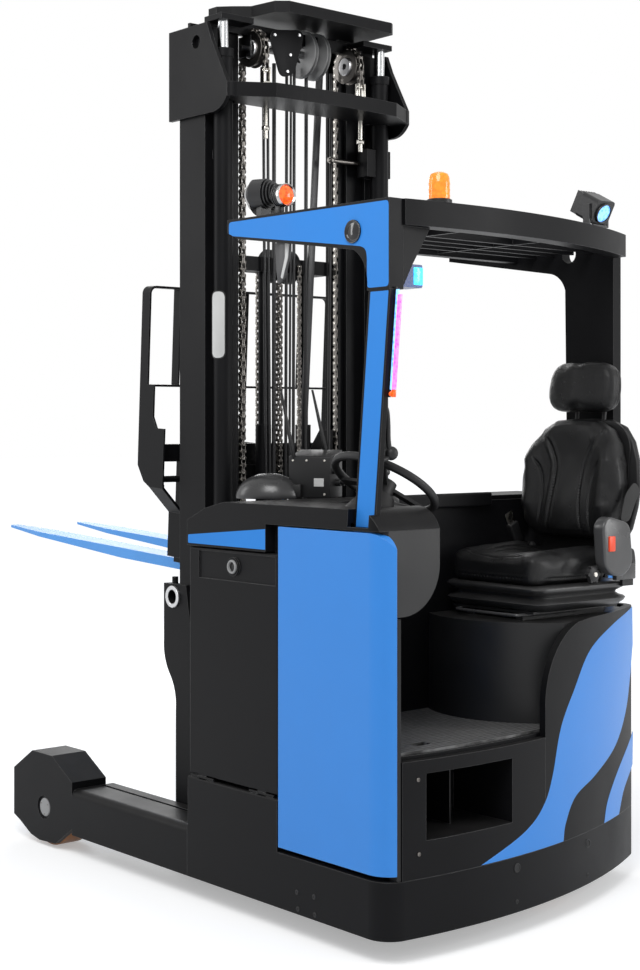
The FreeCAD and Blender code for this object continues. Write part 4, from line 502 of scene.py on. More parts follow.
def make_mat():
    """Ribbed rubber floor mat: wavy ribs that run from side to side."""
    finish = Finish("mat_rubber")
    grain = finish.group(GRAIN, fine_scale=260.0, broad_scale=10.0)
    ribs = finish.node("TexWave", {"Scale": 18.0, "Distortion": 3.0, "Detail": 2.0, "Detail Scale": 1.4,
                                   "Vector": finish.place}, bands_direction="Y").outputs["Fac"]
    # Ridges are painted lighter and grooves darker, following the ribs' relief: painted highlight on the
    # ridges and painted shade in the grooves.
    shade = finish.blend(ribs, (0.006, 0.006, 0.006), (0.15, 0.15, 0.15))
    finish.set(base_color=finish.blend(finish.group(DUST, amount=0.3)["Mask"], shade, MAT_DUST),
               roughness=finish.span(grain["Cloud"], 0.3, 0.7, 0.42, 0.62), specular_ior_level=0.4)
    finish.bump(ribs, 0.0025, finish.bump(grain["Height"], 0.0006))
    return finish.material


def make_vinyl():
    """Black seat leatherette with a soft sheen."""
    finish = Finish("seat_vinyl")
    hide = finish.group(HIDE, scale=430.0)
    finish.set(base_color=finish.blend(hide["Tone"], (0.0045, 0.0045, 0.0048), (0.0070, 0.0070, 0.0074)),
               roughness=finish.span(hide["Tone"], 0.3, 0.7, 0.27, 0.32), specular_ior_level=0.24)
    finish.bump(hide["Height"], 0.00022)
    return finish.material


def make_finishes():
    """Material for each of the record's slots, and some for details."""
    return {
        "black_paint": coated("black_paint", BLACK),
        # Blue paint's edge colour is a lighter blue: a painted highlight on its edges.
        "blue_paint": coated("blue_paint", BLUE, 0.34, 0.3, edge=(0.10, 0.36, 0.85), wear=0.25, dust=0.01,
                             cloud=0.015),
        "fork_blue": coated("fork_blue", (0.09, 0.33, 0.78), 0.40, 0.3, edge=(0.42, 0.44, 0.46), wear=0.9,
                            cloud=0.03),
        "wheel_tyre": rubber("wheel_tyre", (0.33, 0.125, 0.03), 0.45, 0.4, 800.0),
        "hub_steel": metal("hub_steel", (0.55, 0.55, 0.56), 0.32),
        "drive_cast": coated("drive_cast", (0.030, 0.031, 0.033), 0.55, 0.35, peel=0.0005, fine=220.0),
        "battery_case": coated("battery_case", (0.022, 0.026, 0.036), 0.5, 0.3),
        "mat_rubber": make_mat(),
        "black_plastic": rubber("black_plastic", (0.0105, 0.0105, 0.011), 0.44, 0.28),
        "seat_vinyl": make_vinyl(),
        "seat_rubber": rubber("seat_rubber", (0.013, 0.013, 0.0135), 0.36, 0.45, 500.0),
        "lamp_body": coated("lamp_body", (0.012, 0.012, 0.013), 0.38, 0.4, edge=(0.32, 0.32, 0.33), wear=0.8,
                            radius=0.0009),
        "lamp_chrome": metal("lamp_chrome", (0.42, 0.415, 0.41), 0.2, False, 0.3),
        "amber_lens": lit("amber_lens", (0.95, 0.27, 0.015), 0.75, (0.60, 0.10, 0.006)),
        "chrome_rod": metal("chrome_rod", (0.52, 0.53, 0.54), 0.14, False, 0.2),
        "guard_livery": coated("guard_livery", BLACK, badge=guard_badge, dust=0.02),
        "hood_livery": coated("hood_livery", BLACK, badge=hood_badge),
        "chain_steel": metal("chain_steel", (0.16, 0.15, 0.14), 0.34, wear=0.5),
        "pin_steel": metal("pin_steel", (0.62, 0.60, 0.55), 0.25),
        "hose_rubber": rubber("hose_rubber", (0.011, 0.011, 0.012), 0.38, 0.4),
        "grey_plastic": rubber("grey_plastic", (0.045, 0.045, 0.046), 0.28, 0.5, 700.0, 0.00005),
        "mound_grey": coated("mound_grey", (0.028, 0.028, 0.029), 0.30, 0.5, wear=0.0, peel=0.00003),
        "bar_grey": coated("bar_grey", (0.032, 0.032, 0.034), 0.36, 0.4),
        "cap_grey": coated("cap_grey", (0.26, 0.26, 0.26), 0.42, 0.35, wear=0.1),
        "lamp_blue": coated("lamp_blue", (0.012, 0.060, 0.26), 0.3, 0.3, wear=0.0),
        "label_pale": rubber("label_pale", (0.52, 0.52, 0.51), 0.4, 0.4),
        "dark_glass": coated("dark_glass", (0.005, 0.005, 0.007), 0.08, 0.5, wear=0.0, peel=0.00001),
        "red_button": rubber("red_button", (0.75, 0.06, 0.015), 0.35, 0.45),
        "red_lens": lit("red_lens", (0.90, 0.035, 0.006), 1.2, (1.0, 0.16, 0.02)),
        "blue_lens": lit("blue_lens", (0.05, 0.26, 1.0), 1.5, (0.30, 0.62, 1.0)),
        "cyan_lens": lit("cyan_lens", (0.03, 0.42, 1.0), 1.6, (0.10, 0.75, 1.0)),
        "violet_strip": lit("violet_strip", (0.80, 0.06, 0.55), 1.2, (0.95, 0.30, 0.70)),
        "lens_glass": clear("lens_glass"),
        "belt_web": rubber("belt_web", (0.012, 0.012, 0.012), 0.6, 0.3, 900.0, 0.0004),
    }


NODE_FINISH = {
    "guard_left": "guard_livery",
    "hood": "hood_livery",
    "post_lamp": "lamp_blue",
}


def dress_frame(finishes):
    """Give every node of the frame its slot's material, or the livery that is drawn for it."""
    for name, thing in NODES.items():
        for holder in thing.material_slots:
            wanted = NODE_FINISH.get(name)
            if wanted is None:
                wanted = holder.material.name.split(".")[0] if holder.material else "black_paint"
            holder.material = finishes[wanted]


# ---------------------------------------------------------------- making pieces
AXES = {"x": Vector((1, 0, 0)), "y": Vector((0, 1, 0)), "z": Vector((0, 0, 1))}


def turn_matrix(centre, axis, degrees):
    spot = Vector(centre)
    spin = Matrix.Rotation(math.radians(degrees), 4, AXES[axis] if isinstance(axis, str) else Vector(axis))
    return Matrix.Translation(spot) @ spin @ Matrix.Translation(-spot)


class Maker:
    """Collects the shapes of one piece, then turns them into its mesh."""

    def __init__(self, name):
        self.name = name
        self.bm = bmesh.new()
        self.paint = 0

    def shaped(self, old, bevel=0.0, steps=2):
        """Bevel the sharp edges of the faces added since old, and give them the current paint."""
        fresh = [face for face in self.bm.faces if face not in old]
        bmesh.ops.recalc_face_normals(self.bm, faces=fresh)
        if bevel > 0:
            edges = {edge for face in fresh for edge in face.edges}
            sharp = [edge for edge in edges if len(edge.link_faces) == 2 and edge.calc_face_angle() > 0.5]
            bmesh.ops.bevel(self.bm, geom=sharp, offset=bevel, offset_type="OFFSET", segments=steps,
                            profile=0.5, affect="EDGES", clamp_overlap=True, material=-1)
        for face in self.bm.faces:
            if face not in old:
                face.material_index = self.paint

    def block(self, low, high, bevel, steps=2):
        old = set(self.bm.faces)
        made = bmesh.ops.create_cube(self.bm, size=1)["verts"]
        low, high = Vector(low), Vector(high)
        bmesh.ops.scale(self.bm, vec=high - low, verts=made)
        bmesh.ops.translate(self.bm, vec=(low + high) / 2, verts=made)
        self.shaped(old, bevel, steps)

    def rod(self, start, end, radius, sides=24):
        old = set(self.bm.faces)
        start, end = Vector(start), Vector(end)
        along = end - start
        made = bmesh.ops.create_cone(self.bm, cap_ends=True, segments=sides, radius1=radius, radius2=radius,
                                     depth=along.length)["verts"]
        pose = Matrix.Translation((start + end) / 2) @ along.to_track_quat("Z", "Y").to_matrix().to_4x4()
        bmesh.ops.transform(self.bm, matrix=pose, verts=made)
        self.shaped(old, 0.0008, 1)

    def ball(self, centre, radius, stretch=(1, 1, 1), sides=20):
        old = set(self.bm.faces)
        made = bmesh.ops.create_uvsphere(self.bm, u_segments=sides, v_segments=sides // 2,
                                         radius=radius)["verts"]
        bmesh.ops.scale(self.bm, vec=stretch, verts=made)
        bmesh.ops.translate(self.bm, vec=centre, verts=made)
        self.shaped(old)

    def lathe(self, profile, centre, axis, sides=32):
        """Turn a profile of (along, radius) points round an axis through centre."""
        old = set(self.bm.faces)
        line = AXES[axis]
        side = AXES["z"] if axis != "z" else AXES["x"]
        spots = [self.bm.verts.new(Vector(centre) + line * along + side * radius)
                 for along, radius in profile]
        edges = [self.bm.edges.new(pair) for pair in zip(spots, spots[1:])]
        bmesh.ops.spin(self.bm, geom=spots + edges, cent=centre, axis=line, dvec=(0, 0, 0),
                       angle=math.radians(360.0), steps=sides, use_merge=True, use_duplicate=False)
        self.shaped(old)

    def plate(self, outline, axis, low, high, bevel, steps=2):
        """Flat outline, drawn in the other two axes in order, pushed from low to high."""
        old = set(self.bm.faces)
        spots = []
        for first, second in outline:
            spot = {"x": (low, first, second), "y": (first, low, second), "z": (first, second, low)}[axis]
            spots.append(self.bm.verts.new(spot))
        face = self.bm.faces.new(spots)
        grown = bmesh.ops.extrude_face_region(self.bm, geom=[face], use_keep_orig=True)["geom"]
        verts = [item for item in grown if isinstance(item, bmesh.types.BMVert)]
        bmesh.ops.translate(self.bm, vec=AXES[axis] * (high - low), verts=verts)
        self.shaped(old, bevel, steps)

    def tube(self, points, radius, sides=4):
        """Round tube on a smooth line near given points."""
        old = set(self.bm.faces)
        data = bpy.data.curves.new(self.name + "_line", "CURVE")
        data.dimensions = "3D"
        data.bevel_depth = radius
        data.bevel_resolution = sides
        data.use_fill_caps = True
        spline = data.splines.new("NURBS")
        spline.points.add(len(points) - 1)
        for spot, point in zip(spline.points, points):
            spot.co = (*point, 1)
        spline.order_u = 3
        spline.use_endpoint_u = True
        spline.resolution_u = 8
        holder = bpy.data.objects.new(self.name + "_line", data)
        mesh = bpy.data.meshes.new_from_object(holder)
        self.bm.from_mesh(mesh)
        bpy.data.objects.remove(holder)
        bpy.data.meshes.remove(mesh)
        bpy.data.curves.remove(data)
        self.shaped(old)

    def turn(self, centre, axis, degrees):
        bmesh.ops.transform(self.bm, matrix=turn_matrix(centre, axis, degrees), verts=self.bm.verts)

    def move(self, step):
        bmesh.ops.translate(self.bm, vec=step, verts=self.bm.verts)

    def finish(self, body, slot, *finishes, smooth_angle=35.0):
        """Merge doubles, face outwards, link the piece and let it ride on its body; its finish is the slot's
        own where none is named."""
        bmesh.ops.remove_doubles(self.bm, verts=self.bm.verts, dist=0.00001)
        bmesh.ops.recalc_face_normals(self.bm, faces=self.bm.faces)
        mesh = bpy.data.meshes.new(self.name)
        for face in self.bm.faces:
            face.smooth = True
        self.bm.to_mesh(mesh)
        self.bm.free()
        mesh.set_sharp_from_angle(angle=math.radians(smooth_angle))
        piece = bpy.data.objects.new(self.name, mesh)
        bpy.context.scene.collection.objects.link(piece)
        for name in finishes or (slot,):
            mesh.materials.append(FINISHES[name])
        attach(piece, body)
        return piece


def soft_corners(corners, radius, steps=5):
    """Round each corner of a flat outline with an arc."""
    outline = []
    count = len(corners)
    for index in range(count):
        spot = Vector(corners[index])
        back = Vector(corners[index - 1]) - spot
        ahead = Vector(corners[(index + 1) % count]) - spot
        reach = min(radius, back.length * 0.45, ahead.length * 0.45)
        start = spot + back.normalized() * reach
        end = spot + ahead.normalized() * reach
        for step in range(steps + 1):
            t = step / steps
            outline.append(tuple(start * (1 - t) ** 2 + spot * 2 * t * (1 - t) + end * t ** 2))
    return outline


# ---------------------------------------------------------------- seat
def evaluated(piece):
    """Swap the piece's mesh for the one its modifiers make, and drop them."""
    bpy.context.view_layer.update()
    shaped = piece.evaluated_get(bpy.context.evaluated_depsgraph_get())
    mesh = bpy.data.meshes.new_from_object(shaped)
    piece.modifiers.clear()
    piece.data = mesh


def spots_of(piece):
    places = np.empty(len(piece.data.vertices) * 3, dtype=np.float32)
    piece.data.vertices.foreach_get("co", places)
    return places.reshape(-1, 3).astype(np.float64)


def place_spots(piece, places):
    piece.data.vertices.foreach_set("co", places.astype(np.float32).ravel())
    piece.data.update()


def normals_of(piece):
    sides = np.empty(len(piece.data.vertices) * 3, dtype=np.float32)
    piece.data.vertices.foreach_get("normal", sides)
    return sides.reshape(-1, 3).astype(np.float64)


def remesh(piece, size):
    modifier = piece.modifiers.new("remesh", "REMESH")
    modifier.mode = "VOXEL"
    modifier.voxel_size = size
    evaluated(piece)


CLOTH_STEPS = 20
CLOTH_PRESSURE = 4.0


def swell(piece, cap):
    """Puff the pad as cloth with air in it; no point moves further than cap."""
    rest = spots_of(piece)
    modifier = piece.modifiers.new("cloth", "CLOTH")
    modifier.settings.use_pressure = True
    modifier.settings.uniform_pressure_force = CLOTH_PRESSURE
    modifier.settings.effector_weights.gravity = 0
    modifier.point_cache.frame_start = 1
    modifier.point_cache.frame_end = CLOTH_STEPS
    scene = bpy.context.scene
    for step in range(1, CLOTH_STEPS + 1):
        scene.frame_set(step)
    evaluated(piece)
    scene.frame_set(1)
    move = spots_of(piece) - rest
    reach = np.linalg.norm(move, axis=1, keepdims=True)
    move *= np.minimum(1.0, cap / np.maximum(reach, 1e-9))
    place_spots(piece, rest + evened(piece, move, 14))


def evened(piece, values, rounds):
    """Average each point's value with its neighbours' over and over, so that a puff has no creases."""
    ends = np.empty(len(piece.data.edges) * 2, dtype=np.int32)
    piece.data.edges.foreach_get("vertices", ends)
    ends = ends.reshape(-1, 2)
    count = np.bincount(ends.ravel(), minlength=len(values)).clip(1)[:, None]
    for _ in range(rounds):
        total = np.zeros_like(values)
        np.add.at(total, ends[:, 0], values[ends[:, 1]])
        np.add.at(total, ends[:, 1], values[ends[:, 0]])
        values = 0.5 * values + 0.5 * total / count
    return values


def subdivide(piece):
    modifier = piece.modifiers.new("finer", "SUBSURF")
    modifier.levels = 1
    modifier.render_levels = 1
    evaluated(piece)


def smooth_line(points, steps=12):
    """Points along a soft line through given points in a plane."""
    line = []
    spots = [np.array(point, dtype=float) for point in points]
    spots = [2 * spots[0] - spots[1]] + spots + [2 * spots[-1] - spots[-2]]
    for a, b, c, d in zip(spots, spots[1:], spots[2:], spots[3:]):
        for step in range(steps):
            t = step / steps
            line.append(0.5 * (2 * b + (c - a) * t + (2 * a - 5 * b + 4 * c - d) * t ** 2
                               + (3 * b - a - 3 * c + d) * t ** 3))
    line.append(spots[-2])
    return np.array(line)


def sew(piece, lines, plane, facing, width, depth):
    """Press sewn channels into the side that faces a given way; lines lie in a plane of two axes."""
    places = spots_of(piece)
    sides = normals_of(piece)
    front = sides[:, facing] > 0.35
    flat = places[front][:, plane]
    press = np.zeros(len(flat))
    for line in lines:
        points = smooth_line(line)
        near = np.full(len(flat), 1.0)
        along = np.zeros(len(flat))
        for index, point in enumerate(points):
            gap = np.linalg.norm(flat - point, axis=1)
            closer = gap < near
            near[closer] = gap[closer]
            along[closer] = index / (len(points) - 1)
        taper = np.clip(np.minimum(along, 1 - along) * 6, 0.15, 1.0)
        groove = np.clip(1 - near / width, 0, 1) ** 2
        lip = np.exp(-((near - 1.7 * width) / (0.7 * width)) ** 2) * 0.28
        press = np.where(np.abs(groove) > 0, np.minimum(press, -groove * taper), press)
        press = np.where((groove == 0) & (press == 0), lip * taper, press)
    shift = np.zeros_like(places)
    shift[front] = sides[front] * (press * depth)[:, None]
    place_spots(piece, places + shift)


def pad(maker, rule, seams, body, node, voxel, cap, pose=None):
    """Finish a padded piece: remesh, sculpt, puff, subdivide, sew, and stand in for its node."""
    piece = maker.finish(body, "seat_vinyl")
    piece.parent = None
    remesh(piece, voxel)
    place_spots(piece, rule(spots_of(piece)))
    swell(piece, cap)
    subdivide(piece)
    for lines, plane, facing, width, depth in seams:
        sew(piece, lines, plane, facing, width, depth)
    if pose is not None:
        piece.data.transform(pose)
    piece.data.materials.clear()
    piece.data.materials.append(FINISHES["seat_vinyl"])
    for face in piece.data.polygons:
        face.use_smooth = True
    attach(piece, body)
    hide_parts(node)
    return piece


def both_ways(line):
    """The line and its mirror image across the middle."""
    return [line, [(-point[0], *point[1:]) for point in line]]


def bulge(value, centre, width):
    """Bell curve round a centre."""
    return np.exp(-((value - centre) / width) ** 2)


SEAT_BACK_POSE = Matrix.Translation(SEAT_PIVOT) @ Matrix.Rotation(math.radians(SEAT_LEAN), 4, "Y")


def mirrored(half):
    """Whole outline from the half on one side of the middle."""
    return half + [(-y, z) for y, z in reversed(half[1:-1])]


def make_backrest():
    """Cover of the backrest, with side wings and two sewn channels on each side."""
    half = [(0.0, 0.086), (0.124, 0.088), (0.166, 0.102), (0.194, 0.142), (0.212, 0.210), (0.218, 0.285),
            (0.208, 0.362), (0.184, 0.428), (0.146, 0.478), (0.088, 0.508), (0.0, 0.514)]
    maker = Maker("seat_backrest_cover")
    maker.plate(mirrored(half), "x", -0.006, 0.066, 0.020, 4)

    def rule(places):
        y, z = places[:, 1], places[:, 2]
        front = np.clip(places[:, 0] / 0.05, 0, 1)
        tall = np.clip((z - 0.08) / 0.12, 0, 1) * np.clip((0.46 - z) / 0.1, 0, 1)
        wing = bulge(np.abs(y), 0.172, 0.042) * tall
        lumbar = bulge(z, 0.19, 0.09) * bulge(y, 0.0, 0.09)
        hollow = bulge(y, 0.0, 0.10) * bulge(z, 0.36, 0.10)
        places[:, 0] += front * (0.030 * wing + 0.012 * lumbar - 0.012 * hollow)
        return places

    inner = [(-0.112, 0.442), (-0.080, 0.390), (-0.060, 0.325), (-0.064, 0.210), (-0.080, 0.112)]
    outer = [(-0.150, 0.366), (-0.122, 0.328), (-0.106, 0.268), (-0.106, 0.205), (-0.116, 0.118)]
    seams = [(both_ways(inner) + both_ways(outer), [1, 2], 0, 0.0080, 0.0105)]
    pad(maker, rule, seams, "seat_back", "seat_backrest", voxel=0.0055, cap=0.010, pose=SEAT_BACK_POSE)


def make_headrest():
    """Cover of the headrest, with a sewn welt down its side."""
    outline = soft_corners([(-0.150, 0.528), (0.150, 0.528), (0.142, 0.704), (-0.142, 0.704)], 0.085)
    maker = Maker("seat_headrest_cover")
    maker.plate(outline, "x", -0.016, 0.056, 0.024, 4)

    def rule(places):
        lift = np.clip(places[:, 0] / 0.05, 0, 1)
        places[:, 0] += lift * 0.010 * bulge(places[:, 1], 0.0, 0.09)
        return places

    welt = [[(0.006, 0.552), (0.010, 0.62), (0.006, 0.690)]]
    seams = [(welt, [0, 2], 1, 0.005, 0.005)]
    pad(maker, rule, seams, "seat_back", "seat_headrest", voxel=0.0050, cap=0.008, pose=SEAT_BACK_POSE)


def make_cushion():
    """Cover of the cushion: a dished middle, raised wings and a rounded nose."""
    x0, x1 = CUSHION_LOW.x + 0.008, CUSHION_HIGH.x - 0.006
    side = (CUSHION_HIGH.y - CUSHION_LOW.y) / 2 - 0.008
    corners = [(x0, -side), (x1, -side * 0.94), (x1 + 0.004, 0), (x1, side * 0.94), (x0, side)]
    outline = [(x, SEAT_Y + y) for x, y in soft_corners(corners, 0.045)]
    maker = Maker("seat_cushion_cover")
    maker.plate(outline, "z", CUSHION_LOW.z + 0.003, CUSHION_HIGH.z - 0.008, 0.024, 4)
    length = x1 - x0
    middle = CUSHION_LOW.z + 0.05

    def rule(places):
        y = places[:, 1] - SEAT_Y
        run = (places[:, 0] - x0) / length
        upper = np.clip((places[:, 2] - middle) / 0.04, 0, 1)
        dish = bulge(y, 0.0, 0.10) * np.clip(1.15 - run, 0, 1)
        wing = bulge(np.abs(y), 0.160, 0.038) * np.clip(1.25 - run, 0, 1)
        nose = bulge(run, 1.0, 0.16) * bulge(y, 0.0, 0.14)
        places[:, 2] += upper * (0.017 * wing - 0.022 * dish - 0.013 * nose)
        return places

    def on_top(line):
        return [(x0 + run * length, SEAT_Y + y) for run, y in line]

    inner = [(0.80, 0.050), (0.62, 0.072), (0.38, 0.080), (0.10, 0.078)]
    outer = [(0.66, 0.106), (0.48, 0.118), (0.28, 0.120), (0.08, 0.118)]
    lines = [on_top(line) for line in (inner, outer)]
    lines += [on_top([(run, -y) for run, y in line]) for line in (inner, outer)]
    lines.append(on_top([(0.90, -0.165), (0.915, -0.08), (0.92, 0.0), (0.915, 0.08), (0.90, 0.165)]))
    low = CUSHION_LOW.z + 0.026
    skirt = [[(SEAT_Y - 0.17, low), (SEAT_Y, low - 0.003), (SEAT_Y + 0.17, low)]]
    flank = [[(x0 + 0.05, low), (x0 + length / 2, low - 0.003), (x1 - 0.05, low)]]
    seams = [(lines, [0, 1], 2, 0.0075, 0.0095), (skirt, [1, 2], 0, 0.005, 0.005),
             (flank, [0, 2], 1, 0.005, 0.005)]
    pad(maker, rule, seams, "seat", "seat_cushion", voxel=0.0055, cap=0.009)


def loft(maker, loops):
    """Skin over closed loops of points, and flat ends."""
    old = set(maker.bm.faces)
    rings = []
    for loop in loops:
        spots = [maker.bm.verts.new(point) for point in loop]
        rings.append([maker.bm.edges.new((a, b)) for a, b in zip(spots, spots[1:] + spots[:1])])
    for first, second in zip(rings, rings[1:]):
        bmesh.ops.bridge_loops(maker.bm, edges=first + second)
    for ring in (rings[0], rings[-1]):
        bmesh.ops.contextual_create(maker.bm, geom=ring)
    maker.shaped(old)


def make_bellows():
    """Rubber bellows round the seat's suspension, with two thick folds."""
    x0, x1 = BELLOWS_LOW.x - 0.008, BELLOWS_HIGH.x
    side = (BELLOWS_HIGH.y - BELLOWS_LOW.y) / 2 - 0.005
    rows = [(-0.006, -0.040), (-0.002, -0.014), (0.006, -0.004), (0.015, 0.006), (0.024, 0.010),
            (0.030, 0.005), (0.034, -0.006), (0.041, -0.014), (0.048, -0.012), (0.054, -0.003),
            (0.061, 0.007), (0.070, 0.011), (0.077, 0.007), (0.081, -0.002)]
    maker = Maker("seat_bellows_folds")
    loops = []
    for rise, out in rows:
        corners = [(x0 - out, SEAT_Y - side - out), (x1 + out, SEAT_Y - side - out),
                   (x1 + out, SEAT_Y + side + out), (x0 - out, SEAT_Y + side + out)]
        loops.append([(x, y, BELLOWS_LOW.z + rise) for x, y in soft_corners(corners, 0.06, 6)])
    loft(maker, loops)
    piece = maker.finish("seat", "seat_rubber", smooth_angle=60)
    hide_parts("seat_bellows")


BELT_Y = CUSHION_HIGH.y + 0.008


def make_belt_reel():
    """Housing of the belt reel, with its red button and foot."""
    reel = Maker("belt_reel")
    outline = soft_corners([(-0.455, 1.100), (-0.440, 1.235), (-0.335, 1.262), (-0.300, 1.235),
                            (-0.312, 1.095), (-0.352, 1.066), (-0.410, 1.060)], 0.03)
    reel.plate(outline, "y", BELT_Y, BELT_Y + 0.046, 0.008, 3)
    reel.block((-0.50, BELT_Y, 1.046), (-0.40, BELT_Y + 0.02, 1.10), 0.004)
    reel.paint = 1
    reel.block((-0.357, BELT_Y + 0.040, 1.146), (-0.327, BELT_Y + 0.052, 1.196), 0.003)
    reel.finish("seat", "black_plastic", "grey_plastic", "red_button")


def make_belt_strap():
    """Stretch of belt that shows between the reel and the backrest."""
    strap = Maker("belt_strap")
    outline = soft_corners([(-0.470, 1.236), (-0.424, 1.240), (-0.452, 1.330), (-0.500, 1.372),
                            (-0.530, 1.340), (-0.498, 1.290)], 0.02)
    strap.plate(outline, "y", BELT_Y + 0.012, BELT_Y + 0.015, 0.0006)
    strap.finish("seat", "black_plastic", "belt_web")


def make_belt_buckle():
    """Buckle on its stalk, with the tongue pushed in."""
    buckle = Maker("belt_buckle")
    buckle.block((-0.012, -0.012, 0.0), (0.012, 0.012, 0.13), 0.004)
    buckle.block((-0.022, -0.014, 0.10), (0.022, 0.014, 0.175), 0.006, 3)
    buckle.paint = 1
    buckle.block((-0.012, -0.0155, 0.145), (0.012, -0.013, 0.168), 0.001)
    buckle.paint = 2
    buckle.plate(soft_corners([(-0.018, 0.172), (0.018, 0.172), (0.018, 0.215), (-0.018, 0.215)], 0.006),
                 "y", -0.0015, 0.0015, 0.0004)
    buckle.turn((0, 0, 0), "y", 24)
    buckle.move((-0.475, CUSHION_LOW.y - 0.015, 1.055))
    buckle.finish("seat", "black_plastic", "black_plastic", "red_button", "pin_steel")


def make_seat_knobs():
    """Star knob on each side of the cushion."""
    knobs = Maker("seat_knobs")
    for side, x, z in ((-1, -0.240, 1.052), (1, -0.292, 1.072)):
        face = SEAT_Y + side * (CUSHION_HIGH.y - CUSHION_LOW.y) / 2 + side * 0.006
        knobs.paint = 0
        knobs.lathe([(0, 0), (0, 0.021), (side * 0.006, 0.027), (side * 0.018, 0.025), (side * 0.022, 0.016),
                     (side * 0.022, 0)], (x, face, z), "y", 24)
        for step in range(6):
            angle = math.radians(60 * step)
            spot = (x + 0.026 * math.cos(angle), face + side * 0.012, z + 0.026 * math.sin(angle))
            knobs.rod((spot[0], spot[1] - side * 0.007, spot[2]), (spot[0], spot[1] + side * 0.007, spot[2]),
                      0.0055, sides=12)
        knobs.paint = 1
        knobs.rod((x, face + side * 0.020, z), (x, face + side * 0.026, z), 0.008)
    knobs.finish("seat", "black_plastic", "black_plastic", "pin_steel")


def make_seat_lever():
    """Round bar across the front, under the bellows, that frees the seat's slide."""
    levers = Maker("seat_levers")
    front = BELLOWS_HIGH.x
    base = BELLOWS_LOW.z - 0.012
    half = [(-0.30, 0.15), (front + 0.01, 0.15), (front + 0.03, 0.12)]
    levers.tube([(x, SEAT_Y - y, base) for x, y in half] + [(x, SEAT_Y + y, base) for x, y in reversed(half)],
                0.0055)
    levers.finish("seat", "black_plastic", "grey_plastic")


def make_seat_back_covers():
    """Small covers over the backrest's hinge on each side."""
    covers = Maker("seat_back_covers")
    for side in (-1, 1):
        y = SEAT_Y + side * 0.222
        outline = soft_corners([(-0.048, -0.026), (0.022, -0.026), (0.026, 0.014), (0.000, 0.075),
                                (-0.034, 0.075), (-0.048, 0.030)], 0.018)
        covers.plate(outline, "y", y - 0.004, y + 0.004, 0.003)
    covers.move((SEAT_PIVOT.x, 0, SEAT_PIVOT.z))
    covers.turn(SEAT_PIVOT, "y", SEAT_LEAN)
    covers.finish("seat_back", "black_plastic")


def make_seat_back_rim():
    """Plastic rim that stands a little proud round the backrest."""
    shell = Maker("seat_back_rim")
    half = [(0.0, 0.070), (0.140, 0.072), (0.186, 0.094), (0.212, 0.140), (0.228, 0.212), (0.234, 0.288),
            (0.222, 0.368), (0.196, 0.436), (0.156, 0.486), (0.092, 0.510), (0.0, 0.514)]
    shell.plate([(y + SEAT_Y, z + SEAT_PIVOT.z) for y, z in mirrored(half)], "x", SEAT_PIVOT.x - 0.042,
                SEAT_PIVOT.x - 0.020, 0.009, 3)
    shell.turn(SEAT_PIVOT, "y", SEAT_LEAN)
    shell.finish("seat_back", "black_plastic")


# ---------------------------------------------------------------- chains, hoses and sheave on the mast
CHAIN_PITCH = 0.0254
CHAIN_WIDE = 0.024
LINK_HALF = 0.0105

# Outline of a link plate, in halves of its length and width.
LINK_UPPER = [(-1, 0.55), (-0.72, 1), (0, 0.72), (0.72, 1), (1, 0.55)]
LINK_SHAPE = LINK_UPPER + [(s, -t) for s, t in reversed(LINK_UPPER)]


def chain_piece(name, points, body, wide=CHAIN_WIDE, pitch=CHAIN_PITCH, half=LINK_HALF):
    """Leaf chain along a path in a plane of constant X: plates in turn, with bright pins."""
    maker = Maker(name)
    spots = [Vector(point) for point in points]
    steps = [b - a for a, b in zip(spots, spots[1:])]
    total = sum(step.length for step in steps)
    count = int(total / pitch)

    def at(distance):
        for start, step in zip(spots, steps):
            if distance <= step.length:
                return start + step.normalized() * distance, step.normalized()
            distance -= step.length
        return spots[-1], steps[-1].normalized()

    stations = [at(index * pitch) for index in range(count + 1)]
    rows = ((-0.42, -0.30), (0.30, 0.42)), ((-0.22, -0.06), (0.06, 0.22))
    for index, (first, second) in enumerate(zip(stations, stations[1:])):
        along = (second[0] - first[0]).normalized()
        across = Vector((0, -along.z, along.y))
        centre = (first[0] + second[0]) / 2
        reach = pitch / 2 + half * 0.95
        for low, high in rows[index % 2]:
            verts = [maker.bm.verts.new(centre + along * (s * reach) + across * (t * half)
                                        + Vector((low * wide, 0, 0))) for s, t in LINK_SHAPE]
            face = maker.bm.faces.new(verts)
            grown = bmesh.ops.extrude_face_region(maker.bm, geom=[face], use_keep_orig=True)["geom"]
            moved = [item for item in grown if isinstance(item, bmesh.types.BMVert)]
            bmesh.ops.translate(maker.bm, vec=((high - low) * wide, 0, 0), verts=moved)
    pins = Maker(name + "_pins")
    for spot, _ in stations:
        made = bmesh.ops.create_cone(pins.bm, cap_ends=True, segments=8, radius1=half * 0.42,
                                     radius2=half * 0.42, depth=wide * 1.02)["verts"]
        pose = Matrix.Translation(spot) @ Matrix.Rotation(math.radians(90), 4, "Y")
        bmesh.ops.transform(pins.bm, matrix=pose, verts=made)
    maker.finish(body, "hub_steel", "chain_steel")
    pins.finish(body, "hub_steel", "pin_steel")


def fork_anchor(maker, x, y, z, drop):
    """Chain anchor: clevis, nut and a threaded rod that goes down through the plate."""
    maker.paint = 0
    for cheek in (x - 0.014, x + 0.014):
        maker.block((cheek - 0.003, y - 0.011, z), (cheek + 0.003, y + 0.011, z + 0.055), 0.002)
    maker.block((x - 0.017, y - 0.012, z - 0.016), (x + 0.017, y + 0.012, z + 0.004), 0.003)
    maker.rod((x - 0.019, y, z + 0.042), (x + 0.019, y, z + 0.042), 0.0055)
    maker.rod((x, y, z - 0.016), (x, y, z - drop), 0.008)
    maker.rod((x, y, z - drop + 0.030), (x, y, z - drop + 0.045), 0.015, sides=6)


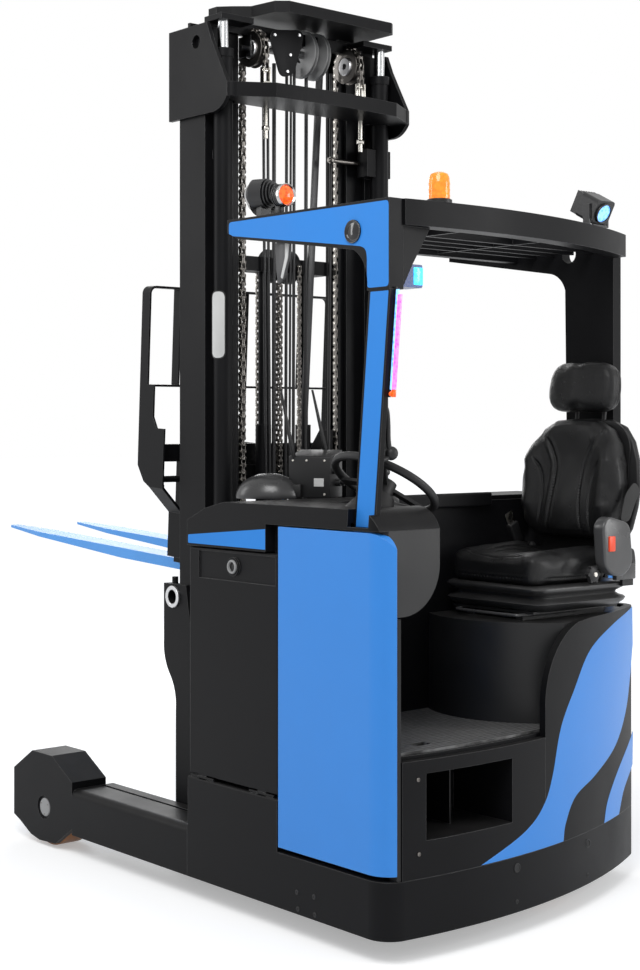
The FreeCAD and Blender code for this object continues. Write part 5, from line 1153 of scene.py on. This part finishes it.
LIFT_CHAIN = {"left": (0.213, 0.262), "right": (-0.240, 0.262)}
LIFT_WHEEL_Z = CLOSED_HEIGHT - 0.154
LIFT_WHEEL_RADIUS = 0.056
LIFT_WRAP = LIFT_WHEEL_RADIUS + LINK_HALF
LIFT_CHAIN_FOOT = 0.45


def make_chain_wheel(name, x, y):
    """Flanged chain wheel with its hub, on a pin that a small bracket holds."""
    wheel = Maker(name)
    wide, radius = CHAIN_WIDE / 2, LIFT_WHEEL_RADIUS
    wheel.lathe([(-wide - 0.004, 0), (-wide - 0.004, radius + 0.007), (-wide - 0.001, radius + 0.008),
                 (-wide, radius), (wide, radius), (wide + 0.001, radius + 0.008),
                 (wide + 0.004, radius + 0.007), (wide + 0.004, radius - 0.014),
                 (wide + 0.001, radius - 0.017), (wide + 0.001, 0)],
                (x, y, LIFT_WHEEL_Z), "x", 40)
    wheel.paint = 1
    wheel.lathe([(0, 0), (0, 0.034), (wide + 0.006, 0.034), (wide + 0.009, 0.031), (wide + 0.009, 0.012),
                 (wide + 0.005, 0.010), (wide + 0.005, 0)], (x, y, LIFT_WHEEL_Z), "x", 32)
    inner = 1 if x < 0 else -1
    wheel.paint = 2
    wheel.rod((x - inner * 0.06, y, LIFT_WHEEL_Z), (x + inner * (wide + 0.008), y, LIFT_WHEEL_Z), 0.0095)
    bracket = x - inner * 0.020
    wheel.block((bracket - 0.004, y - 0.060, LIFT_WHEEL_Z - 0.026),
                (bracket + 0.004, y + 0.012, LIFT_WHEEL_Z + 0.05), 0.003)
    wheel.finish("mast_middle", "hub_steel", "chain_steel", "hub_steel", "black_paint")


def make_lift_chains():
    """Lift chains over the wheels at the middle stage's top, and their anchors on the cross plate."""
    for side, (x, y) in LIFT_CHAIN.items():
        turns = [math.radians(angle) for angle in range(0, 181, 22)]
        over = [(x, y + math.cos(turn) * LIFT_WRAP, LIFT_WHEEL_Z + math.sin(turn) * LIFT_WRAP)
                for turn in turns]
        chain_piece("lift_chain_" + side, over + [(x, y - LIFT_WRAP - 0.002, LIFT_CHAIN_FOOT)], "mast_middle")
        back = y + LIFT_WRAP
        short = [(x, back, LIFT_WHEEL_Z - 0.004), (x, back + 0.002, LIFT_WHEEL_Z - 0.086)]
        chain_piece("chain_end_" + side, short, "reach_carriage")
        make_chain_wheel("chain_wheel_" + side, x, y)
        anchor = Maker("chain_anchor_" + side)
        fork_anchor(anchor, x, back + 0.002, LIFT_WHEEL_Z - 0.128, 0.20)
        anchor.finish("reach_carriage", "hub_steel", "pin_steel")


FREE_CHAIN_X = 0.045
# Name, Y and height of the foot of each run.
FREE_CHAIN_RUNS = (("rear", 0.207, 0.80), ("front", 0.073, 1.112))


def make_free_lift_chains():
    """Two narrow chains that hang from the cross head's wheels, behind and in front."""
    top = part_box("free_lift_head")[1].z - 0.062
    for side, x in (("right", -FREE_CHAIN_X), ("left", FREE_CHAIN_X)):
        for run, y, foot in FREE_CHAIN_RUNS:
            chain_piece(f"free_chain_{run}_{side}", [(x, y, top), (x, y, foot)], "free_lift_head",
                        0.018, 0.019, 0.0055)


# X at the top, X at the foot, and radius of each hose.
HOSES = ((0.126, 0.112, 0.0055), (0.106, 0.094, 0.0055), (0.076, 0.078, 0.0075),
         (0.016, 0.022, 0.0060), (-0.004, 0.004, 0.0045), (-0.020, -0.014, 0.0060),
         (-0.078, -0.072, 0.0070), (-0.200, -0.186, 0.0060))
HOSE_Y = 0.2085
SHEAVE_Y, SHEAVE_Z = 0.218, 2.932
COVER_Y = 0.298


def make_hoses():
    """Hoses that hang straight down from the sheaves."""
    hoses = Maker("mast_hoses")
    for top_x, low_x, radius in HOSES:
        run = ((top_x, 2.885), (top_x, 2.70), ((top_x + low_x) / 2, 1.9), (low_x, 1.2), (low_x, 0.30))
        hoses.tube([(x, HOSE_Y, z) for x, z in run], radius, sides=3)
    hoses.finish("mast_inner", "black_plastic", "hose_rubber")


def make_hose_guide():
    """Flat slanted bar beside the hoses."""
    bar = Maker("hose_guide_bar")
    bar.plate([(-0.168, 2.90), (-0.138, 2.90), (-0.042, 1.26), (-0.072, 1.26)], "y", 0.1945, 0.2035, 0.002)
    bar.finish("mast_inner", "black_paint", "bar_grey")


def make_sheaves():
    """Two hose sheaves on one pin."""
    sheave = Maker("hose_sheaves")
    for x in (-0.050, -0.110):
        sheave.lathe([(-0.009, 0.030), (-0.009, 0.085), (-0.006, 0.087), (-0.003, 0.077), (0.003, 0.077),
                      (0.006, 0.087), (0.009, 0.085), (0.009, 0.030)], (x, SHEAVE_Y, SHEAVE_Z), "x", 48)
    sheave.rod((-0.125, SHEAVE_Y, SHEAVE_Z), (0.10, SHEAVE_Y, SHEAVE_Z), 0.014)
    sheave.finish("mast_inner", "hub_steel", "cap_grey")


def make_sheave_cover():
    """Rounded sheet over the sheaves, with four bolts and a stay."""
    cover = Maker("sheave_cover")
    outline = soft_corners([(0.182, 2.976), (0.004, 3.002), (0.060, 2.830), (0.122, 2.812)], 0.05, 7)
    cover.plate(outline, "y", COVER_Y, COVER_Y + 0.006, 0.0015)
    cover.block((0.020, 0.215, 2.915), (0.150, COVER_Y + 0.001, 2.921), 0.001)
    cover.paint = 1
    for x, z in ((0.150, 2.962), (0.035, 2.978), (0.092, 2.838), (0.078, 2.900)):
        cover.rod((x, COVER_Y + 0.005, z), (x, COVER_Y + 0.010, z), 0.006, sides=12)
    cover.finish("mast_inner", "black_paint", "black_paint", "hub_steel")


# ---------------------------------------------------------------- rear panels, plugs and labels
# Edges of the two blue ribbons on the curved back, as (x, z).
RIBBON = [(-0.660, 0.930), (-0.435, 0.892), (-0.257, 0.830), (-0.148, 0.715), (-0.067, 0.605),
          (-0.019, 0.462), (0.027, 0.381), (0.121, 0.316), (0.325, 0.247)]
RIBBON_BACK = [(-0.082, 0.246), (-0.097, 0.302), (-0.159, 0.375), (-0.298, 0.419), (-0.468, 0.486),
               (-0.574, 0.580), (-0.625, 0.680), (-0.668, 0.800)]
SHORT_RIBBON = [(-0.671, 0.497), (-0.501, 0.402), (-0.399, 0.317), (-0.366, 0.246)]
SHORT_RIBBON_BACK = [(-0.501, 0.246), (-0.555, 0.318), (-0.664, 0.382)]
RIBBON_STRIP = 0.02
RIBBON_STEPS = (-34, 18)


def make_ribbon(name, fore, back):
    """Thin painted ribbon that follows the curved rear of the chassis."""
    maker = Maker(name)
    outline = [tuple(point) for line in (fore, back) for point in smooth_line(line, 8)]
    spots = [maker.bm.verts.new((x, 0.0, z)) for x, z in outline]
    maker.bm.faces.new(spots)
    for step in range(*RIBBON_STEPS):
        everything = maker.bm.verts[:] + maker.bm.edges[:] + maker.bm.faces[:]
        bmesh.ops.bisect_plane(maker.bm, geom=everything, plane_co=(step * RIBBON_STRIP, 0, 0),
                               plane_no=(1, 0, 0))
    grown = bmesh.ops.extrude_face_region(maker.bm, geom=maker.bm.faces[:], use_keep_orig=True)["geom"]
    outer = {item for item in grown if isinstance(item, bmesh.types.BMVert)}
    for vert in maker.bm.verts:
        vert.co.y = rear_face(vert.co.x, 0.0005 if vert in outer else -0.0006)
    maker.finish("chassis", "blue_paint")


def make_ribbons():
    """The tall ribbon and the short one beside it."""
    make_ribbon("rear_ribbon", RIBBON, RIBBON_BACK)
    make_ribbon("rear_ribbon_short", SHORT_RIBBON, SHORT_RIBBON_BACK)


def screw(maker, place, axis, radius=0.0085, high=0.004, recess=0.55):
    """Round-headed screw with a socket; the axis is its outward direction as a letter."""
    maker.lathe([(-0.002, 0), (-0.002, radius), (high * 0.4, radius), (high, radius * 0.72),
                 (high, radius * recess), (high * 0.3, radius * recess * 0.9), (high * 0.3, 0)],
                place, axis, 18)


def make_screws():
    """Bright screws of the step panel, and dark plugs and screws round the base."""
    bright = Maker("panel_screws")
    for x, z in ((0.569, 0.533), (0.566, 0.317)):
        screw(bright, (x, rear_face(x, 0.0), z), "y", 0.0065, 0.003)
    bright.finish("chassis", "hub_steel", "chain_steel")
    dark = Maker("base_plugs")
    for x, z in ((-0.237, 0.207), (0.165, 0.211)):
        dark.lathe([(-0.002, 0), (-0.002, 0.014), (0.002, 0.014), (0.003, 0.012), (0.001, 0.010), (0.001, 0)],
                   (x, rear_face(x, 0.0), z), "y", 24)
    for x, z in ((-0.237, 0.105), (0.165, 0.108)):
        screw(dark, (x, rear_face(x, 0.0), z), "y", 0.007, 0.002)
    for y, z in ((1.075, 0.142), (1.155, 0.145), (1.080, 0.092), (1.159, 0.092)):
        screw(dark, (HALF, y, z), "x", 0.008, 0.002)
    dark.finish("chassis", "black_plastic")


def make_latch_ring():
    """Pale ring round the battery door's latch."""
    latch = Maker("latch_ring")
    latch.lathe([(-0.004, 0.0155), (-0.004, 0.0225), (0.002, 0.0225), (0.004, 0.021), (0.004, 0.0165),
                 (0.002, 0.0155), (-0.004, 0.0155)], LATCH, "x", 36)
    latch.paint = 1
    latch.lathe([(-0.014, 0), (-0.014, 0.0158), (-0.004, 0.0158), (-0.003, 0.014), (-0.003, 0)],
                LATCH, "x", 30)
    latch.finish("battery_door", "hub_steel", "cap_grey", "black_plastic")


def make_axle_caps():
    """Cap with three small bolts over each load wheel's axle."""
    for name, side in (("left", 1), ("right", -1)):
        cap = Maker("axle_cap_" + name)
        shape = [(-0.016, 0), (-0.016, 0.040), (-0.009, 0.0405), (-0.007, 0.038), (-0.006, 0.034),
                 (-0.003, 0.032), (-0.002, 0.026), (-0.002, 0)]
        cap.lathe([(side * along, radius) for along, radius in shape],
                  (side * HALF, LOAD_AXLE_Y, LOAD_AXLE_Z), "x", 40)
        cap.paint = 1
        for turn in range(3):
            angle = math.radians(120 * turn + 30)
            y, z = LOAD_AXLE_Y + 0.025 * math.cos(angle), LOAD_AXLE_Z + 0.025 * math.sin(angle)
            cap.rod((side * (HALF - 0.012), y, z), (side * (HALF - 0.001), y, z), 0.0030, sides=12)
        cap.finish("chassis", "hub_steel", "cap_grey", "chain_steel")


def make_reach_ring():
    """Steel ring on the reach carriage's side plate."""
    ring = Maker("reach_ring")
    ring.lathe([(-0.003, 0.0245), (-0.003, 0.039), (0.004, 0.039), (0.006, 0.037), (0.006, 0.027),
                (0.004, 0.0245), (-0.003, 0.0245)], REACH_EYE, "x", 36)
    ring.finish("reach_carriage", "hub_steel")


def make_guard_plug():
    """Glossy dark plug in the guard's wedge."""
    plug = Maker("guard_plug")
    plug.lathe([(-0.010, 0), (-0.010, 0.0325), (0.002, 0.035), (0.005, 0.034), (0.004, 0.030), (0.000, 0.026),
                (0.003, 0.012), (0.004, 0)], (GUARD_HIGH.x, PLUG_Y, PLUG_Z), "x", 44)
    plug.finish("chassis", "black_plastic", "dark_glass")


# ---------------------------------------------------------------- on the hood
BOX_CORNER = (0.247, 0.720, 0.0)
BOX_YAW = 28.0
ANTENNA_Y = 0.597


def make_control_box():
    """Yawed electronics box with a sloped top, drawn round its near corner."""
    box = Maker("control_box")
    box.plate([(-0.118, HOOD_TOP), (0.0, HOOD_TOP), (0.0, HOOD_TOP + 0.138), (-0.010, HOOD_TOP + 0.143),
               (-0.118, HOOD_TOP + 0.162)], "y", -0.151, 0.0, 0.003, 2)
    box.paint = 1
    box.block((0.0, -0.058, HOOD_TOP + 0.038), (0.0015, -0.022, HOOD_TOP + 0.066), 0.0006, 1)
    box.paint = 2
    for y, z in ((-0.020, 0.126), (-0.085, 0.126), (-0.135, 0.126), (-0.020, 0.012), (-0.135, 0.012)):
        screw(box, (0.0, y, HOOD_TOP + z), "x", 0.0042, 0.002)
    box.paint = 0
    box.block((0.0, -0.150, HOOD_TOP), (0.020, -0.100, HOOD_TOP + 0.045), 0.004)
    glands = ((-0.095, 0.05, 0.016, 0.012), (-0.060, 0.05, 0.016, 0.012), (-0.028, 0.09, 0.012, 0.010))
    for x, z, deep, radius in glands:
        box.rod((x, -0.001, HOOD_TOP + z), (x, deep, HOOD_TOP + z), radius)
    box.turn((0, 0, 0), "z", BOX_YAW)
    box.move(BOX_CORNER)
    box.finish("chassis", "black_plastic", "black_plastic", "label_pale", "pin_steel")


def make_box_leads():
    """Two leads from the electronics box down to the hood."""
    leads = Maker("control_box_leads")
    thick = [(0.155, 0.690, 0.050), (0.150, 0.745, 0.048), (0.140, 0.790, 0.020), (0.120, 0.840, 0.006),
             (0.060, 0.880, 0.003)]
    thin = [(0.186, 0.705, 0.050), (0.182, 0.752, 0.050), (0.190, 0.800, 0.018), (0.205, 0.860, 0.006),
            (0.215, 0.930, 0.004)]
    for line, radius in ((thick, 0.0065), (thin, 0.0060)):
        leads.tube([(x, y, HOOD_TOP + z) for x, y, z in line], radius)
    leads.finish("chassis", "black_plastic", "hose_rubber")


def make_antennas():
    """Two slanted blade antennas, thickest a third of the way up."""
    blades = Maker("antennas")
    for low, high in (((0.304, 1.440), (0.363, 1.678)), ((0.154, 1.440), (0.224, 1.680))):
        low, high = Vector(low), Vector(high)
        waist = low + (high - low) * 0.3
        rows = ((low, 0.007), (waist, 0.0075), (high, 0.0032))
        outline = [(low.x - 0.007, low.y)] + [(spot.x + half, spot.y) for spot, half in rows]
        outline += [(spot.x - half, spot.y) for spot, half in reversed(rows[1:])]
        blades.plate(outline, "y", ANTENNA_Y, ANTENNA_Y + 0.007, 0.002)
        middle = ANTENNA_Y + 0.0035
        blades.rod((low.x - 0.004, middle, low.y + 0.004), (low.x - 0.006, middle, low.y - 0.014), 0.009)
    blades.finish("chassis", "black_plastic")


def make_hood_mound():
    """Low grey dome on the hood, cut flat just under the hood's top."""
    mound = Maker("hood_mound")
    mound.ball((0, 0, 0), 1.0, (0.118, 0.085, 0.082), 40)
    mound.turn((0, 0, 0), "z", -50.0)
    mound.move((0.348, 0.522, HOOD_TOP))
    for vert in mound.bm.verts:
        vert.co.z = max(vert.co.z, HOOD_TOP - 0.004)
    mound.finish("chassis", "black_plastic", "mound_grey")


# ---------------------------------------------------------------- on the guard
def dish(maker, place, axis, side, radius, deep):
    """Bezel and domed lens of a lamp, in the second and third paint, along an outward axis."""
    bezel = ((0.001, 0.86), (0.001, 1.0), (0.006, 1.02), (0.010, 0.97), (0.010, 0.88), (0.004, 0.86))
    lens = ((0.0005, 0.0), (0.0005, 0.87), (0.005, 0.86), (deep, 0.55), (deep * 1.2, 0.0))
    for paint, rows in ((1, bezel), (2, lens)):
        maker.paint = paint
        maker.lathe([(side * along, radius * share) for along, share in rows], place, axis, 36)


WORK_LAMP_Z = 2.290
SPOT_LAMP_X, SPOT_LAMP_Z = -0.390, 2.264
SPOT_LAMP_DIP = -28
HANDLE_Y = 1.40


def make_work_lamps():
    """Finned work lamps under the roof's front, with clear lenses."""
    work = Maker("work_lamps")
    for x, face in ((0.554, 0.719), (0.628, 0.803)):
        work.paint = 0
        work.lathe([(0.060, 0), (0.058, 0.018), (0.050, 0.034), (0.0, 0.040), (-0.004, 0.040), (-0.004, 0.0)],
                   (x, face, WORK_LAMP_Z), "y", 32)
        for fin in range(5):
            start = 0.010 + 0.010 * fin
            work.lathe([(start, 0.020), (start, 0.0435), (start + 0.003, 0.0435), (start + 0.003, 0.020)],
                       (x, face, WORK_LAMP_Z), "y", 32)
        dish(work, (x, face - 0.003, WORK_LAMP_Z), "y", -1, 0.040, 0.008)
    work.finish("chassis", "lamp_body", "lamp_body", "lamp_chrome", "lens_glass")


def make_tail_lamp():
    """Finned tail lamp on its foot, with a bright bezel and a lit red lens."""
    tail = Maker("tail_lamp_body")
    low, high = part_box("tail_lamp")
    centre = ((low.x + high.x) / 2, 0.945, high.z - 0.034)
    tail.lathe([(-0.028, 0), (-0.026, 0.018), (-0.016, 0.028), (0.0, 0.033), (0.018, 0.034), (0.018, 0)],
               centre, "y", 40)
    for fin in range(3):
        start = -0.008 + 0.009 * fin
        tail.lathe([(start, 0.020), (start, 0.036), (start + 0.003, 0.036), (start + 0.003, 0.020)],
                   centre, "y", 40)
    tail.block((centre[0] - 0.010, 0.925, low.z), (centre[0] + 0.010, 0.950, centre[2] - 0.020), 0.003)
    tail.paint = 1
    tail.lathe([(0.018, 0.028), (0.018, 0.036), (0.028, 0.036), (0.030, 0.033), (0.026, 0.029)],
               centre, "y", 40)
    tail.paint = 2
    tail.lathe([(0.019, 0), (0.019, 0.0285), (0.026, 0.028), (0.033, 0.018), (0.036, 0)], centre, "y", 40)
    piece = tail.finish("chassis", "lamp_chrome", "lamp_body", "lamp_chrome", "red_lens")
    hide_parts("tail_lamp")


def make_beacon():
    """Ribbed amber beacon on a black ring."""
    beacon = Maker("beacon_lens")
    low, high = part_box("beacon")
    middle = ((low.x + high.x) / 2, (low.y + high.y) / 2, low.z)
    tall = high.z - low.z
    radius = (high.x - low.x) / 2
    rows = [(0.0, 0.0), (0.0, radius), (0.010, radius), (0.012, radius * 0.93)]
    for rib in range(3):
        z = 0.018 + rib * 0.018
        rows += [(z, radius * 0.92), (z + 0.004, radius * 0.95), (z + 0.008, radius * 0.92)]
    rows += [(tall - 0.016, radius * 0.88), (tall - 0.006, radius * 0.74), (tall - 0.001, radius * 0.45),
             (tall, 0)]
    beacon.lathe(rows, middle, "z", 48)
    beacon.paint = 1
    beacon.lathe([(-0.001, 0), (-0.001, radius + 0.004), (0.010, radius + 0.004), (0.013, radius * 0.96),
                  (0.013, 0)], middle, "z", 48)
    piece = beacon.finish("chassis", "amber_lens", "amber_lens", "black_plastic")
    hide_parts("beacon")


def make_spot_lamp():
    """Bezel and lit blue lens of the spot lamp over the back."""
    spot = Maker("spot_lamp_lens")
    dish(spot, (0, 0, 0), "y", 1, 0.034, 0.006)
    spot.turn((0, 0, 0), "x", SPOT_LAMP_DIP)
    spot.move((SPOT_LAMP_X, rear_face(SPOT_LAMP_X) - 0.020, SPOT_LAMP_Z))
    spot.finish("chassis", "lamp_body", "lamp_body", "lamp_body", "blue_lens")


def make_post_lamp():
    """Lit lens on the status lamp's face."""
    lamp = Maker("post_lamp_lens")
    low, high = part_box("post_lamp")
    lamp.block((low.x + 0.003, high.y - 0.004, low.z + 0.008),
               (low.x + 0.040, high.y + 0.003, high.z - 0.008), 0.003)
    lamp.finish("chassis", "lamp_body", "cyan_lens")


def post_rear(z):
    """Y of the guard post's rear edge at a height."""
    return POST_REAR[0] + (z - POST_FOOT) * (POST_REAR[1] - POST_REAR[0]) / (POST_TOP - POST_FOOT)


def make_status_strip():
    """Lit strip along the post's rear edge: black back, violet and blue light, red foot."""
    strip = Maker("status_strip")
    for paint, near, far, low, high in ((0, -0.014, 0.004, 1.640, 1.958), (1, 0.012, 0.0250, 1.662, 1.935),
                                        (2, 0.004, 0.0120, 1.662, 1.950), (3, 0.012, 0.0250, 1.640, 1.662)):
        strip.paint = paint
        outline = [(post_rear(z) + out, z) for z, out in ((low, near), (low, far), (high, far), (high, near))]
        strip.plate(outline, "x", 0.6325, 0.6395, 0.0006)
    strip.paint = 3
    y = post_rear(1.652)
    strip.rod((0.634, y + 0.002, 1.650), (0.634, y + 0.010, 1.650), 0.007)
    strip.finish("chassis", "lamp_body", "black_plastic", "violet_strip", "blue_lens", "red_lens")


def make_grab_handle():
    """Bent grab handle behind the post, with a ball at its lower bend."""
    handle = Maker("grab_handle")
    upper = ((0.654, 1.635), (0.619, 1.618), (0.612, 1.570), (0.612, 1.500), (0.602, 1.480))
    lower = ((0.599, 1.470), (0.622, 1.458), (0.657, 1.455))
    for line, radius in ((upper, 0.0085), (lower, 0.0075)):
        handle.tube([(x, HANDLE_Y, z) for x, z in line], radius)
    handle.ball((0.599, HANDLE_Y, 1.477), 0.021)
    handle.finish("chassis", "black_plastic")


def make_mirror():
    """Leaf-shaped mirror beside the cab, with a sliver of its face painted pale as a painted reflection."""
    mirror = Maker("mirror_blade")
    leaf = soft_corners([(0.908, 2.120), (0.925, 2.155), (0.984, 2.150), (0.976, 2.080), (0.948, 2.012),
                         (0.922, 1.996), (0.911, 2.050)], 0.012)
    face = soft_corners([(0.958, 2.146), (0.981, 2.144), (0.972, 2.080), (0.945, 2.014), (0.936, 2.020),
                         (0.957, 2.080)], 0.004)
    mirror.plate(leaf, "x", 0.629, 0.636, 0.001)
    # The face's sliver is pale grey, not glass: a painted reflection.
    mirror.paint = 1
    mirror.plate(face, "x", 0.6355, 0.6375, 0.0004)
    mirror.finish("chassis", "black_plastic", "bar_grey", "label_pale")


def make_lever_pod():
    """Rubber boot and knob of a hydraulic lever on the hood."""
    pod = Maker("lever_pod")
    pod.lathe([(0.0, 0), (0.0, 0.048), (0.010, 0.046), (0.022, 0.034), (0.030, 0.038), (0.040, 0.026),
               (0.048, 0.029), (0.058, 0.018), (0.066, 0.012), (0.085, 0.010), (0.085, 0)],
              (0.255, 1.000, HOOD_TOP - 0.004), "z", 28)
    pod.ball((0.255, 1.000, HOOD_TOP + 0.094), 0.018, (1.0, 1.0, 0.85))
    pod.finish("chassis", "seat_rubber")


# ---------------------------------------------------------------- on the mast
CYLINDER = (0.372, 0.291)
CYLINDER_RADIUS = 0.034
LABEL_HALF = 0.030
LABEL_LOW, LABEL_HIGH = 1.790, 2.030
LABEL_FACING = math.radians(20)
LABEL_BEND = 0.080


def make_cylinder_label():
    """Blank pale label with a thin black border, bent round the lift cylinder."""
    label = Maker("cylinder_label")
    for paint, inset, proud in ((0, 0.0, 0.0004), (1, 0.004, 0.0007)):
        label.paint = paint
        old = set(label.bm.faces)
        half, low, high = LABEL_HALF - inset, LABEL_LOW + inset, LABEL_HIGH - inset
        corners = [(-half, low), (half, low), (half, high), (-half, high)]
        label.bm.faces.new([label.bm.verts.new((u, 0, z)) for u, z in soft_corners(corners, 0.025, 6)])
        for step in range(-7, 8):
            faces = [face for face in label.bm.faces if face not in old]
            edges = list({edge for face in faces for edge in face.edges})
            verts = list({vert for face in faces for vert in face.verts})
            bmesh.ops.bisect_plane(label.bm, geom=verts + edges + faces, plane_co=(step * 0.004, 0, 0),
                                   plane_no=(1, 0, 0))
        back = CYLINDER_RADIUS + proud - LABEL_BEND
        for vert in {vert for face in label.bm.faces if face not in old for vert in face.verts}:
            angle = LABEL_FACING + vert.co.x / LABEL_BEND
            vert.co = (CYLINDER[0] + back * math.cos(LABEL_FACING) + LABEL_BEND * math.cos(angle),
                       CYLINDER[1] + back * math.sin(LABEL_FACING) + LABEL_BEND * math.sin(angle), vert.co.z)
        label.shaped(old)
    label.finish("reach_carriage", "black_plastic", "black_plastic", "label_pale")


def make_clamp_bolt():
    """Long bolt through the lift cylinder's clamp."""
    bolt = Maker("cylinder_clamp_bolt")
    bolt.rod((-0.150, 0.250, 2.550), (-0.300, 0.250, 2.550), 0.008)
    bolt.rod((-0.158, 0.250, 2.550), (-0.172, 0.250, 2.550), 0.014, sides=6)
    bolt.finish("reach_carriage", "hub_steel", "chain_steel")


# ---------------------------------------------------------------- put it together
FINISHES = make_finishes()
dress_frame(FINISHES)
for make in (make_camera, make_lamps, make_world, make_floor,
             make_backrest, make_headrest, make_cushion, make_bellows,
             make_belt_reel, make_belt_strap, make_belt_buckle, make_seat_knobs, make_seat_lever,
             make_seat_back_covers, make_seat_back_rim,
             make_lift_chains, make_free_lift_chains,
             make_hoses, make_hose_guide, make_sheaves, make_sheave_cover,
             make_ribbons, make_screws, make_latch_ring, make_axle_caps, make_reach_ring, make_guard_plug,
             make_control_box, make_box_leads, make_antennas, make_hood_mound,
             make_work_lamps, make_tail_lamp, make_beacon, make_spot_lamp,
             make_post_lamp, make_status_strip, make_grab_handle, make_mirror, make_lever_pod,
             make_cylinder_label, make_clamp_bolt):
    make()
bpy.context.scene.view_settings.view_transform = "Standard"
